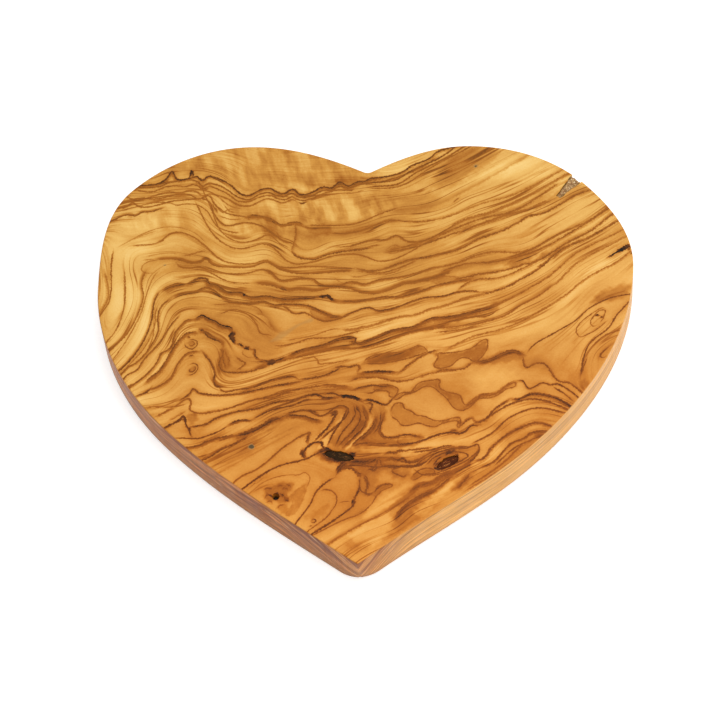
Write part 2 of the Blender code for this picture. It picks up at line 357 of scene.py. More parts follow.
# %% Outlines of the flaws, seen from above
def wavy(outline, amount, seed):
    """The outline with its points moved a little in and out, by a few sine waves of random phase."""
    random = np.random.default_rng(seed)
    along = np.roll(outline, -1, 0) - np.roll(outline, 1, 0)
    outward = np.stack([along[:, 1], -along[:, 0]], 1) / np.hypot(*along.T)[:, None]
    place = np.linspace(0, 2 * math.pi, len(outline), endpoint=False)
    waves = sum(np.sin(n * place + random.uniform(0, 2 * math.pi)) / len(WAVE_COUNTS) for n in WAVE_COUNTS)
    return outline + outward * (amount * waves)[:, None]


def oval_outline(out, rise, length, width, turn, grow):
    place = np.linspace(0, 2 * math.pi, OVAL_POINTS, endpoint=False)
    oval = np.stack([np.cos(place) * (length / 2 + grow), np.sin(place) * (width / 2 + grow)], 1)
    spin = math.radians(turn)
    turned = oval @ np.array([[math.cos(spin), math.sin(spin)], [-math.sin(spin), math.cos(spin)]])
    return turned + (out, TIP_Y + rise)


def wedge_outline(near, far, grow):
    """The rim pocket's wedge, from near to far, measured inwards from the rim."""
    mouth, inward = on_stretch(right_stretches[1], FILL_PLACE)
    across = Vector((inward.y, -inward.x))
    slope = (FILL_MOUTH - FILL_END) / 2 / FILL_LENGTH
    corners = []
    for depth, side in ((near, -1), (near, 1), (far, 1), (far, -1)):
        half_width = FILL_MOUTH / 2 - slope * depth + grow
        corners.append(mouth + depth * inward + side * half_width * across)
    shares = np.linspace(0, 1, WEDGE_STEPS, endpoint=False)[:, None]
    following = corners[1:] + corners[:1]
    sides = [(1 - shares) * np.array(a) + shares * np.array(b) for a, b in zip(corners, following)]
    return np.concatenate(sides)


# %% Cutters, and the cuts
def triangles_of(mesh):
    return sum(len(face.vertices) - 2 for face in mesh.polygons)


def object_from(bm, name):
    """A new object from a closed bmesh, with its faces turned outwards."""
    bmesh.ops.recalc_face_normals(bm, faces=bm.faces)
    mesh = bpy.data.meshes.new(name)
    bm.to_mesh(mesh)
    bm.free()
    obj = bpy.data.objects.new(name, mesh)
    bpy.context.scene.collection.objects.link(obj)
    return obj


def prism(name, outline, bottom, top):
    """A closed prism over an outline, made in its final place."""
    bm = bmesh.new()
    base = bm.faces.new([bm.verts.new((*p, bottom)) for p in outline])
    raised = bmesh.ops.extrude_face_region(bm, geom=[base])["geom"]
    for vert in raised:
        if isinstance(vert, bmesh.types.BMVert):
            vert.co.z = top
    return object_from(bm, name)


def cone_cutter(name, place, sides, radius_low, radius_high, depth):
    bm = bmesh.new()
    bmesh.ops.create_cone(bm, cap_ends=True, segments=sides, radius1=radius_low, radius2=radius_high,
                          depth=depth)
    bmesh.ops.remove_doubles(bm, verts=bm.verts, dist=1e-7)
    bm.transform(place)
    return object_from(bm, name)


def crack_cutter():
    """A thin pyramid on its side, just over the top face: widest at the rim, its point in the board."""
    mouth, inward = on_stretch(right_stretches[2], CRACK_PLACE)
    inward = Matrix.Rotation(math.radians(CRACK_LEAN), 2) @ inward
    reach = CRACK_LENGTH + CUT_CLEAR
    growth = reach / CRACK_LENGTH
    along = Vector((*inward, 0))
    up = Vector((0, 0, 1))
    axes = Matrix((up.cross(along), up, along)).transposed().to_4x4()
    size = Matrix.Diagonal((CRACK_WIDTH / 2 * growth, CRACK_DEPTH * growth, reach, 1))
    middle = mouth + inward * (reach / 2 - CUT_CLEAR)
    place = Matrix.Translation((*middle, THICKNESS + CRACK_LIFT))
    return cone_cutter("crack", place @ axes @ size, 4, 1, 0, 1)


def pit_cutter():
    rim, inward = on_stretch(stretches[5], PIT_PLACE)
    centre = rim + PIT_INSET * inward
    height = PIT_DEPTH + CUT_CLEAR
    place = Matrix.Translation((*centre, THICKNESS - PIT_DEPTH + height / 2))
    return cone_cutter("knot_pit", place, PIT_SIDES, PIT_FLOOR_RADIUS, PIT_RADIUS, height)


over_top = THICKNESS + CUT_CLEAR
bark_floor = THICKNESS - BARK_SINK - BARK_DEPTH


def bark_seat(name, place, seed):
    outline = wavy(oval_outline(**place, grow=SEAT_GAP), WAVE, seed)
    return prism(name, outline, bark_floor - SEAT_GAP, over_top)


cutters = [
    prism("rim_pocket", wavy(wedge_outline(-CUT_CLEAR, FILL_LENGTH + SEAT_GAP, SEAT_GAP), WAVE, 1),
          THICKNESS - FILL_DEPTH - SEAT_GAP, over_top),
    bark_seat("centre_seat", CENTRE_BARK, 2),
    bark_seat("right_seat", RIGHT_BARK, 3),
    crack_cutter(),
    pit_cutter(),
]
for cutter in cutters:
    cut = plank.modifiers.new(cutter.name, "BOOLEAN")
    cut.operation = "DIFFERENCE"
    cut.solver = "EXACT" if cutter.name == "crack" else "MANIFOLD"
    cut.object = cutter
bpy.context.view_layer.update()
cut_mesh = bpy.data.meshes.new_from_object(plank.evaluated_get(bpy.context.evaluated_depsgraph_get()))
plank.modifiers.clear()
plank.data = cut_mesh
for cutter in cutters:
    bpy.data.objects.remove(cutter)
print("after the cuts:", len(cut_mesh.vertices), "points,", triangles_of(cut_mesh), "triangles")

# %% [markdown]
# ## The grain
#
# Olive wood is honey coloured, with dark streaks that wander between the growth rings. An even ring texture
# would never pass for this plank, so each main streak is given one by one, as a short list of places along
# it.
# A streak has a core width, an ink from 0 to 1, and a brown fade on its right-hand side as it travels (a
# negative fade lies on its left). A vein is a streak without a fade. A stain is a brown area, or a pale one
# where its strength is negative, and a patch is a stain with a dark outline. A curl is an area where the
# fibres ripple and show bars of light and dark, and a grey is a weathered scar. Areas have a soft edge.
# Places are written as x, y, x, y and so on. All are in millimetres on the top face.

# %% Words for laying streaks and stains
streaks = []
stains = []
curls = []
greys = []
PATCH_LINE = 0.6


def pairs(numbers):
    return np.array(numbers, float).reshape(-1, 2)


def streak(width, ink, fade, *places):
    streaks.append((width, ink, fade, pairs(places)))


def vein(width, ink, *places):
    streak(width, ink, 0, *places)


def stain(strength, soft, *corners):
    stains.append((strength, soft, pairs(corners)))


def patch(strength, soft, ink, *corners):
    stain(strength, soft, *corners)
    vein(PATCH_LINE, ink, *corners, *corners[:2])


def curl(strength, soft, *corners):
    curls.append((strength, soft, pairs(corners)))


def grey(strength, soft, *corners):
    greys.append((strength, soft, pairs(corners)))


# %% Streaks of the upper left and the sapwood edge
streak(0.8, 0.85, 1.6, -95, 77.5, -86.5, 79, -84.5, 80.5, -82, 84.5, -79.5, 80.5, -74.5, 81, -72, 81.6)
vein(0.9, 0.95, -74.7, 80.6, -73.7, 84.6, -72.9, 80.8)
streak(0.8, 0.8, 1.6, -75.5, 80.8, -73, 81.5, -71.5, 82, -70, 80.5, -68.5, 80, -67.5, 81.5, -66, 82,
       -64, 81.5, -57, 77.5, -52, 73, -50, 72.5, -44, 75.5, -41, 76, -36, 73.5, -34, 73.5, -32.5, 75,
       -31, 75.5, -28, 73, -22, 74.5, -20, 76, -18, 76.5, -15, 76, -11.5, 79, -8, 77, -4, 79, -1.5, 79,
       1, 80.5, 5, 81, 15, 84, 18, 86.5, 26, 90.5, 29, 93.5, 34.5, 95.5)
streak(0.7, 0.6, 0.8, -96, 76.5, -86, 77.5, -83, 79, -80, 79.5, -72.5, 80, -70.5, 79, -69, 77, -67, 78.5,
       -62, 77.5, -52, 71, -50, 70.5, -44, 73.5, -41, 74, -38, 72.5, -35, 72, -31, 73.5, -29, 72, -27, 71.5,
       -24, 72, -18, 75, -15, 75, -11, 77, -9, 76, -6, 76.5, -4, 77.5, 6, 79, 12, 81, 24, 87, 29, 91)
vein(0.8, 0.55, -97, 75.5, -90, 74.5, -84, 77, -80, 77.5, -76, 77, -73, 78, -71, 77.5, -69, 76, -66, 77,
     -63, 76, -57, 72.5, -54, 70, -51, 69.5, -42, 72.5, -40, 72.5, -37, 71, -34, 70.5, -31, 72, -29, 70.5,
     -27, 70, -24, 70.5, -18, 73.5, -12, 75, -7, 75, -4, 76)
streak(0.6, 0.5, 0.8, -100, 72, -97.5, 71, -82, 74.5, -78, 74, -75, 75, -72, 75, -68, 72.5, -66, 73.5,
       -63, 73, -58, 71, -53, 68, -50, 67.5, -41, 71, -35, 69, -30.5, 70.5, -28.5, 69)
vein(1, 0.68, -28.8, 69.4, -27.5, 68.6, -26, 69, -24.5, 69.7)
vein(0.6, 0.45, -24.5, 69.5, -18, 72, -10, 73.5, -6, 73.5, 0, 75.5)
vein(0.7, 0.55, -98.5, 70.5, -95, 71.5, -90, 71, -74, 73, -70, 71, -66.5, 72.5, -63, 68, -59, 64.5, -48, 62)
streak(0.7, 0.55, 0.8, -104, 66.5, -100, 67.5, -97.5, 69.5, -96.5, 68.5, -78, 70.5, -66, 70, -63, 63,
       -59, 58.5, -49, 59.5, -41, 56.5, -37, 53, -32, 50, -30.5, 50.5)
vein(0.6, 0.5, -104.5, 65, -82, 69, -79, 68, -76, 68.5, -70.5, 68, -67.5, 66, -61, 57, -56, 55, -53, 54.5)
vein(1.2, 0.62, -56, 55.1, -54.3, 54.7, -53, 54.5)
streak(0.8, 0.62, -1.2, -107, 60, -99, 63.5, -96, 63, -94, 64.5, -90, 65, -84, 67)
vein(1.8, 0.5, -99.8, 63, -98.4, 62.8, -97, 63.2)
vein(1.5, 0.5, -92.6, 64.3, -90.5, 64.6, -88.4, 65)
vein(0.6, 0.5, -69.5, 80, -69, 77, -65.5, 68, -58, 53, -55, 51, -51, 50, -44, 52, -41, 53.5, -35, 49,
     -31, 47)
streak(0.7, 0.5, 0.6, -71.5, 70, -70, 66.5, -58, 49, -55, 47.5, -52, 47, -41, 49, -39, 48, -32, 41, -30, 40,
       -22, 40.5, -13, 43.5, -3, 44, 5, 41, 30, 52.5)
vein(0.6, 0.5, -66, 74, -62, 66.5, -60, 64.6, -57, 66, -54, 65.4)
vein(1.6, 0.55, -65.2, 69, -64, 66.8, -62.8, 65, -62.4, 63.4)
vein(1.2, 0.6, -69.6, 77.4, -67.6, 76, -66, 76.4)
vein(0.6, 0.45, -62, 72.5, -59.5, 69.5, -57, 67.6, -51, 65.8)
vein(0.6, 0.45, -60, 69, -58.5, 66.5, -56.5, 64.8, -54, 64.2)
vein(0.6, 0.45, -62.5, 63.5, -60, 62.2, -57, 61.2, -54, 61, -51, 61.6)
streak(1.3, 0.66, 1.2, -51.5, 62, -46, 62.5, -40, 61, -35, 58, -30, 59.5, -25, 58)
vein(1.9, 0.72, -49, 62.3, -46.5, 62.4, -43.5, 62)
vein(1.7, 0.72, -39.6, 60.8, -38.4, 60, -37.2, 59.3)
vein(0.8, 0.55, -25, 58, -4, 59, 8, 64.5, 14, 66.5)
vein(0.9, 0.55, -15, 55, -11, 54, -5, 54.5, 10, 60, 22, 59.5, 30, 60.5)
vein(1.6, 0.55, -29.6, 60.6, -28.7, 53, -30, 46.4, -29.9, 44.6)
streak(1.3, 0.72, 0.8, -30.5, 47, -30, 45, -28.5, 43.5, -26, 42.5, -22, 42, -15, 44.5, 3, 47.5)
vein(0.8, 0.5, -37.5, 55.5, -36.4, 53.6, -35, 52.2, -33.6, 51.4)
vein(0.6, 0.5, -13, 47.5, -8, 47.8, -4, 48.1)
streak(0.8, 0.58, 0.8, -8, 47.5, 4, 51, 8, 51, 13, 53, 16.5, 50.5, 19, 50, 38, 58.5)
vein(0.7, 0.5, -4, 46.8, 0, 47.2, 3, 48.1, 7, 48.6)
streak(1, 0.6, 0.6, 8, 45, 16, 46.5, 40, 55.5)
vein(0.9, 0.55, 12, 47.2, 16, 47.7, 20, 49, 30, 53.2)
streak(1, 0.62, 1, -4, 38, 0, 36.5, 4, 36.5, 20, 42, 24, 42.5, 32, 45)
vein(0.9, 0.52, -5, 36.5, 1, 35.5, 8, 35.5, 14, 37.5, 22, 41.5)
vein(0.7, 0.45, -7, 34.5, -5, 33.5, -2, 33.5, 2, 34.5, 10, 35, 13, 36, 16, 38)
vein(0.7, 0.45, -5, 56.2, 5, 58.9, 8, 60.4, 10, 60.7, 14, 60.2)
vein(0.5, 0.35, -103.5, 47.5, -95, 52.5, -90, 54.6, -86, 55.8)
vein(0.5, 0.4, -102, 48.5, -90, 55.5, -86, 57, -80, 57.5, -75, 56.5, -71, 54.5, -65.5, 49)
streak(0.6, 0.5, 0.8, -98, 48.5, -85.5, 50.5, -81, 54.5, -79, 55, -73, 53.5, -67, 49, -60.5, 42.5, -58, 41,
       -54, 40, -46, 40, -41, 41.5, -36, 38.5, -33, 38, -24, 38.5, -4, 37.5)
vein(1, 0.6, -86, 50.6, -84.8, 51, -83.8, 51.7)
vein(0.5, 0.35, -92, 43, -84, 44.8, -80, 45, -76.5, 44)
vein(0.8, 0.5, -76.5, 43.6, -73, 44, -67, 45.7, -65, 45)
streak(0.7, 0.55, -1.5, -87, 42, -78, 42, -71, 40, -68, 40.5, -66, 42, -64, 40, -54, 38, -46, 38.5,
       -41, 40.5, -35, 37, -5, 36)
streak(0.6, 0.5, 0.8, -78, 40.5, -76, 38.5, -73, 38, -69, 38.5, -63.5, 36.5, -48, 35.5, -43, 37, -41, 37,
       -36, 34)
vein(0.6, 0.5, -73, 37, -68, 37, -55, 31, -46, 30.5)
vein(0.5, 0.45, -84, 42, -87, 41.6, -90, 40.7, -92, 39, -92.4, 37.2, -91.2, 35.8, -88.6, 35.4, -86, 35.9)
vein(0.5, 0.4, -92.5, 41.4, -89.5, 42, -86.6, 41.9)
vein(0.6, 0.45, -99.6, 36, -98.8, 25, -98.8, 20)
vein(0.5, 0.12, -84, 84.5, -72, 86, -60, 85, -51, 80.5, -42, 82, -30, 81.5, -2, 85)
vein(0.5, 0.12, -78, 89, -66, 90, -56, 88.5, -49, 85, -40, 86.5, -28, 86, -14, 87.5)
vein(0.5, 0.12, -70, 94, -58, 93.5, -48, 90, -24, 91.5)
vein(0.5, 0.12, -105.6, 54, -107.6, 44, -108.5, 34, -108.6, 24, -107.4, 12, -105.4, 2)

# %% Streaks of the left arches
streak(0.9, 0.45, 1.5, -107.5, 37, -105.5, 23, -108, 17)
vein(0.7, 0.55, -104.5, 47, -105, 40, -104.5, 26, -105, 22, -107.5, 17)
vein(0.6, 0.5, -105, 3, -101.5, 8.5, -99.5, 14.5, -98.5, 22, -99.5, 38)
streak(0.7, 0.5, -1.5, -103, -0.5, -98.5, 4.5, -92.5, 17, -91, 25.5, -92, 30, -91.5, 33.5, -90, 37)
vein(0.6, 0.45, -101.5, -4.5, -96, 5.5, -92, 15, -88.5, 30, -87, 34, -85, 37)
streak(0.7, 0.7, -1.2, -99, -10, -98, -9, -87, 13.5, -86.5, 20.5, -85.5, 24.5, -84, 27)
streak(0.6, 0.6, 2, -84.1, 27.1, -79.1, 30, -76.8, 30.6, -73.4, 30.5)
streak(0.8, 0.75, 2.4, -73.5, 30.5, -66, 33, -65, 32.5, -64, 30.5, -61.5, 30, -56.5, 26.5, -50.5, 26,
       -48, 24.5, -44.5, 24, -41.5, 24.5, -33, 23, -19.5, 24.5)
vein(1.2, 0.95, -50.4, 25.7, -49.6, 25.1, -48.5, 24.5)
streak(0.7, 0.6, 1, -98, -11.5, -95.5, -8.5, -93, -7, -90, -4, -88, -1, -84, 9.5, -84.5, 14, -83.5, 19.5,
       -79, 24)
vein(0.6, 0.45, -88.2, -1.2, -86.3, 4.5, -85.9, 9.8, -86.2, 14)
streak(0.7, 0.6, 1.5, -79, 24, -76, 25.5, -69, 27, -66.5, 28.5, -54.5, 22, -45.5, 21.5, -41.5, 22, -36, 20,
       -33, 20)
vein(0.5, 0.4, -82.5, 24.8, -79.6, 27.1, -76.8, 28.3, -69, 29.5)
streak(0.6, 0.6, 0.8, -97.5, -14.5, -95.5, -12, -92, -10, -89.5, -5.5, -82.5, 4, -79.5, 10, -75.5, 16)
streak(0.7, 0.6, 1.5, -94.5, -18, -87, -11, -83.5, -5.5, -82.5, -2.5, -79, 0, -76.5, 8.5, -75, 10.5,
       -73, 13, -69, 14)
streak(0.8, 0.92, 1.8, -69.6, 13.6, -66.1, 15.5, -63.4, 13.8, -60.6, 12.6, -58.7, 11.2, -53.7, 9,
       -53.2, 7.4)
vein(1.9, 0.95, -53.5, 9, -53.2, 7.4, -54.1, 5.5, -53.4, 4.2, -52.5, 3.1, -51.4, 2.3)
streak(0.9, 0.85, 0.8, -51.4, 2.3, -50.1, 1.7, -48.6, 0.7)
vein(1.6, 0.95, -48.9, 0.6, -47.5, 0.2, -45.9, 0)
streak(0.7, 0.7, 1, -45.9, 0, -44.1, -0.7, -43.9, -3.1, -43, -4.5, -41.5, -5.2)
vein(0.5, 0.4, -48.9, 0, -48.9, -2.5, -47, -4, -44, -4.2)
streak(1.3, 0.7, 1.5, -88.5, -16, -83.5, -11.5, -74, 5, -72.5, 6.5, -67, 7.5)
streak(1, 0.8, -2.5, -67, 7.5, -65, 7.2, -63.6, 5.8, -61.5, 4.5, -59, 3.5, -58, 2.8, -57.5, 1.2)
vein(1.5, 0.7, -67.5, 9.5, -66, 9, -64.8, 7.8)
vein(0.9, 0.6, -57.5, 1, -57, -1, -58, -8.5, -56.5, -10.5, -53.5, -11, -46, -10.5, -37.5, -7.5)
vein(1.2, 0.5, -56.7, 0.5, -56, -2.5, -55, -5, -54.8, -7.5, -56, -9.5)
streak(0.6, 0.55, 1.2, -87, -19, -84, -18, -78.5, -14, -75, -6.5, -71.5, -2, -66, -1)
streak(0.8, 0.65, -1, -66, -1, -61.5, -7.5, -60, -12.5, -60.5, -15, -59.5, -17, -55.5, -18)
vein(0.7, 0.55, -58.5, -17.5, -56.5, -19.5, -50.5, -19, -42, -17, -33.5, -13.5, -27.5, -13)
streak(0.8, 0.7, 0.8, -92.2, -22, -88, -20.3, -86.5, -19.2, -85.6, -17.5)
streak(0.8, 0.6, 1, -75, -24, -72.5, -23, -70, -21, -68.5, -18.5, -66, -20.5, -64, -21, -56, -21.5,
       -48, -20.5, -34, -17, -27, -16)
vein(1.4, 0.45, -89.3, -25.2, -88, -26.8, -86, -26.8, -83, -26.3, -79, -26.6, -76, -26.3, -73, -24.8)
streak(0.7, 0.5, 0.8, -77, -27.5, -69.5, -23.5, -69, -25.5, -69.5, -28, -68, -29, -58, -28.5, -41, -23,
       -36, -22.5, -31, -20.5, -27, -20)
streak(0.9, 0.5, 1, -84, -31.2, -82, -30.7, -78, -28.3, -75, -27)
vein(0.9, 0.45, -78, -33.3, -70.8, -28.5)
vein(1, 0.85, -75.5, -34.2, -73.5, -33, -71.8, -31.3, -71, -33, -70.5, -35.5, -69.3, -37, -68.7, -39.5,
     -67.5, -40.9)
vein(1.9, 0.62, -68.6, 9.8, -61.5, 5, -58.6, 3.4)
vein(1.4, 0.55, -57.6, 1.6, -57.2, -1.5, -55, -10.6)
vein(0.8, 0.5, -52.4, -3, -49.6, -5.6, -47.6, -6.8, -49.6, -9, -52, -10.6)
vein(0.6, 0.45, -95.5, -8, -89, 1, -87, 6, -85.5, 12, -85.5, 17, -84.5, 20.5)
vein(1.2, 0.7, -95.3, -18.4, -94, -17.4, -92.6, -16.2)
vein(0.6, 0.45, -80, -27, -72, -25.8, -70.4, -25)

# %% Pin knots of the left half: small rings round a dark heart
vein(0.5, 0.62, -73.2, 3.4, -72.3, 0.9, -69.8, -0.2, -67.9, 1.4, -68, 3.4, -70, 4.3, -72.2, 3.9)
vein(0.5, 0.55, -71.6, 2.5, -70.2, 1.2, -68.9, 2.1, -69.5, 3.2, -71.1, 3.2)
vein(0.6, 0.55, -72.2, 5, -71, 4.9, -71.6, 5.9, -72.4, 5.8)
vein(0.8, 0.6, -71, -3.6, -69.9, -3.2, -68.9, -3.4)
vein(0.5, 0.58, -71.2, -7.9, -68.8, -6.8, -67.1, -8, -67.6, -10.6, -70, -12.3, -71.6, -12)
vein(0.5, 0.58, -69.6, -8.9, -68.1, -8.4, -68.3, -10, -69.9, -10.9, -70.5, -10, -69.6, -8.9)
vein(0.8, 0.26, -60, -54.5, -26, -35.5)
vein(0.8, 0.26, -57, -57, -27, -38)
vein(1.4, 0.3, -62, -52, -33, -35.5)

# %% Streaks of the middle
streak(0.7, 0.55, 1.5, -42, 37.5, -38, 35, -35.5, 32.5, -26, 33, -20.5, 32, -19, 30.5, -13.5, 29.5, -9, 30,
       -7, 31, -4, 31, -0.5, 30, 5.5, 32, 15, 33.5, 30, 38.5)
vein(0.6, 0.4, -14, 33.5, -12.5, 32.9, -10.6, 31.2, -1.5, 29.8)
streak(1, 0.56, -2, -46, 30.5, -39.5, 30, -31, 27, -27, 27.5, -19, 27, -15.5, 28, -6.5, 28, -1, 26, 3, 25.5,
       10.5, 27.5, 16, 30, 20, 30.5, 32, 34, 36, 36.5)
vein(1.3, 0.8, -35.8, 29, -33.4, 27.9, -31, 27.2)
streak(1.2, 0.97, 0.8, -20.2, 24.4, -17.7, 24, -15.3, 24.5, -12.5, 22.2, -10.8, 21.9)
streak(0.9, 0.65, 1.6, -11, 22, -4, 22, 9.5, 24, 13.5, 24, 21, 26, 28.5, 29, 43, 32.5)
streak(0.8, 0.7, 1.4, -38, 20.5, -24, 20, -11.5, 15, -8.5, 15)
streak(0.8, 0.7, 0.9, -9, 15, 3.5, 18.5, 5.5, 17.5, 9.5, 18, 24.5, 23.5, 33.5, 24.5, 37.5, 26, 45, 26.5,
       48, 26)
streak(0.7, 0.6, -0.8, -34.5, 20, -31.5, 18.5, -29.5, 16.5, -27.5, 16, -25.5, 16.5, -18, 13, -15.5, 12.5,
       -12.5, 13, -5, 16)
vein(2.2, 0.4, -46, 16.5, -42, 16.5, -40.1, 15.5, -38.2, 13.1, -36.8, 10.2, -35.3, 8.3, -33.4, 7.4)
vein(0.6, 0.5, -60.5, 15.5, -52, 18, -49.5, 17, -44, 11.5, -42, 7, -38, 6, -36.5, 5)
vein(0.6, 0.45, -63.5, 20.5, -47, 20, -44, 19, -40.5, 14.5)
vein(0.6, 0.42, -32, 3.5, -20.5, 6, -11.5, 9, -8.5, 9)
streak(1.3, 0.5, 0.8, -9.5, 9, -6, 8.5, 0, 9.5, 15, 14.5, 23, 16, 25.5, 17.5, 31, 19, 41, 23, 50.5, 25.5)
vein(0.7, 0.5, -37, 2, -36, 1.5, -29.5, 2, -22, 4.5, -13.5, 5, 0, 8.5)
streak(1, 0.85, 1.5, -42, -5, -40, -5.8, -37.2, -6.2, -34.4, -5.5, -30.6, -3.6)
vein(2, 0.9, -39.8, -6.6, -37.4, -6.4, -34.8, -5.6)
streak(0.8, 0.7, 2.5, -31, -4, -27, -1.5, -15.5, 2, -11.5, 4, -4, 5, -3, 4.5, -3.5, 3, -2.5, 2.5, 1, 3.5,
       12, 8.5, 20, 10, 28, 14, 33.5, 14.5, 52.5, 19.5)
streak(0.8, 0.5, -2, -44, -10, -35, -6.5, -22, -3, -10.5, -0.5, -1, 0, 21, 7.5, 49, 12, 57.5, 15, 65, 20.5,
       69.5, 23, 78, 30)
vein(0.7, 0.5, 28.5, 7.1, 43, 9.6, 47, 11.2)
vein(0.7, 0.42, -26, -4, -22.5, -4.5, -20, -4, -18.5, -5.5, -18, -7, -14.5, -7, -4, -5)
vein(0.9, 0.6, -12.5, -9.5, -8.7, -8.3, -5.8, -8.6, -1.5, -8.1, -1, -9, -2, -11, -1.5, -11.9)
vein(1.5, 0.6, -8.4, -8.3, -6.8, -8)
streak(1, 0.85, 1.8, -1.7, -11.4, 7.5, -10.8, 14.2, -11.1)
streak(0.7, 0.6, 0.6, -44, -17.3, -34.9, -14, -30.6, -13.1, -27.2, -13.3, -25.6, -14.3)
vein(0.8, 0.65, -26, -14.3, -22, -14, -15.3, -12.6, -8.2, -8.6)
streak(0.7, 0.5, 0.8, -42, -18.8, -33.4, -16.7, -26.3, -15.5, -23.5, -14.6)
streak(0.7, 0.5, 0.8, -42, -23.5, -33.5, -20.5, -15.5, -17)
streak(0.8, 0.5, 1.5, -17.2, -16.9, -13.4, -16.7, -8.7, -17.4, -4.4, -17.6)
streak(0.7, 0.65, 0.8, -4.4, -19.3, 1.8, -17.4, 5.6, -17.1, 8, -17.6, 10.9, -17.4, 12.6, -17.9)
vein(0.6, 0.5, 0.9, -20.7, 4.2, -20.5, 5.6, -19.3, 8, -18.8, 10, -18.9)
vein(1.5, 0.5, -6, -15.5, -2.5, -13.5, 1, -13, 8.5, -13.5, 12, -14.5, 20, -14, 23.5, -12.5, 32, -10.5,
     40.5, -9.5)
streak(0.9, 0.6, 1.2, 14, -12, 17, -9, 25.5, -2.5, 31, -0.5)

# %% Streaks of the right half
streak(0.8, 0.68, 0.6, 0, 78.5, 13, 80.5, 17, 83.5, 32, 92, 36, 95.5)
streak(0.8, 0.6, 0.6, 0, 76.5, 14, 78.5, 19, 82.5, 34, 91.5, 38, 94.5)
vein(0.7, 0.53, 0, 75.5, 14, 77, 17, 78.5, 24, 84, 42, 95.5)
vein(0.6, 0.3, 0, 74.5, 13, 75, 18, 77, 26, 82.5)
vein(1, 0.34, 28, 77, 36, 81, 56, 94)
vein(0.8, 0.3, 29, 80, 36, 84, 50, 93.5)
vein(0.8, 0.28, 29, 83.5, 46, 95)
vein(2.4, 0.34, 20, 66.5, 26, 67.5, 30, 69, 38, 73.5, 65, 91)
vein(1.4, 0.24, 26, 71, 40, 78.5, 61, 92)
vein(0.6, 0.48, 35.8, 68.7, 37.2, 70.2, 38.6, 71.4)
vein(1.2, 0.2, 50, 74, 66, 82.5, 72, 86.5)
vein(1.5, 0.48, 22, 59.5, 34, 62.5, 45, 67.5, 60, 72.5, 80, 84)
streak(1.3, 0.53, 1.2, 34, 56.5, 40, 60, 50, 63.5, 60, 68, 82, 81.5)
streak(1.5, 0.53, 1.2, 28, 52.5, 50, 62, 57, 63.5, 80, 78.5)
streak(1.2, 0.53, 1.2, 38, 54.5, 55, 61.5, 67, 65.5, 76, 70)
streak(1.5, 0.64, 1.2, 28, 43.5, 40, 47.5, 46, 51.5, 55, 55, 63, 59.5, 67, 62.5, 70, 63, 90, 74, 93, 75)
vein(1.6, 0.7, 66, 62, 67.5, 62.4, 69.5, 62.8)
vein(1.2, 0.36, 68, 64, 80, 71.5)
streak(1.2, 0.5, 1, 26, 37, 40, 41, 45, 43.5, 50, 45, 65, 45.5, 70, 47.5, 75, 51, 95, 62.5, 100, 67)
vein(1.7, 0.58, 30, 34.5, 35, 37, 40, 38.5, 45, 39.5, 50, 39.5, 60, 41.5, 70, 45, 87, 55.5, 100, 65)
streak(1.7, 0.58, 1.2, 36, 32, 45, 34.5, 60, 37.5, 65, 39.5, 68, 40, 72, 42, 84, 50.5, 92, 55, 101, 63)
vein(1.3, 0.56, 37.5, 26, 40, 28.5, 44, 31, 48, 32, 52, 32, 70, 39.5)
vein(1.2, 0.66, 47, 26, 50.5, 26, 55.5, 27.5, 66, 33.5, 71, 37, 80, 46, 92, 52, 104, 60)
vein(1.8, 0.66, 71, 37.6, 72.2, 38.3, 73.2, 39)
vein(1, 0.62, 70, 40.3, 73, 42, 77, 45, 80, 46.2)
vein(1.1, 0.53, 76, 40.5, 80, 44.5, 98, 55)
vein(1.2, 0.53, 52.5, 19.5, 64, 26, 79, 37, 83, 41.5, 103, 54)
vein(1.1, 0.48, 74, 27, 78, 30, 85, 38, 104, 50.5)
vein(0.7, 0.58, 28, 10, 45, 14.5, 49, 14.5, 52.5, 16, 55, 18.5)
vein(1.1, 0.5, 33.5, -1, 45.5, 5.5, 56, 8.5, 73.5, 18, 84, 26, 88, 30, 95, 35, 102, 39, 108.5, 44.5)
vein(0.6, 0.65, 66.5, -2.5, 67, -1.5, 78.5, 7.5, 86, 12.5, 92, 18.5, 101.5, 23.5, 109.5, 25)
vein(1.4, 0.58, 28, -11.4, 31.2, -10, 41.2, -8.9, 44.3, -6.6, 45.9, -6.5)
streak(0.9, 0.68, 1.8, 44.5, -6.5, 49, -6, 62.5, -1.5, 65.5, -3)
vein(1, 0.65, 64.5, -3, 66.5, -9, 70, -7, 72.5, -7, 80, -15.5, 83.5, -16, 87.5, -19.5)
streak(0.7, 0.68, 0.8, 62, -15, 64.5, -15, 67, -18.5, 73.5, -16, 76, -17, 78, -16.5, 83.5, -19.5, 87.5, -23)
vein(0.7, 0.68, 76.6, -17.6, 82.7, -22.1, 85.6, -25.2)
streak(1.4, 0.5, 1, 41.5, -27, 48, -22, 54, -21, 60.5, -16, 63.5, -15)
streak(0.9, 0.7, 1.2, 45, -32, 46, -33.5, 49, -33, 53.5, -28, 60, -23)
streak(1.2, 0.84, 2, 60, -23, 62, -23.5, 68.5, -21, 77, -22.5, 85.5, -27.5)
vein(0.9, 0.68, 50.5, -32, 60.5, -25.5, 68, -23.5, 77, -25.5, 83, -28.5)
streak(0.7, 0.63, 0.8, 44.5, -43.5, 51.5, -39.5, 60, -31.5, 70, -27.5, 83, -30)
streak(1, 0.68, 1.6, 45.5, -51, 48.5, -50.5, 52.5, -45, 62.5, -37, 71.5, -34, 77, -36)
streak(0.8, 0.65, 0.8, 47.5, -54.5, 52, -52.5, 62, -42.5, 65, -41.5, 68, -39, 71.5, -38, 75, -38)
vein(0.7, 0.58, 53, -54, 63, -44.5, 69, -41.5)
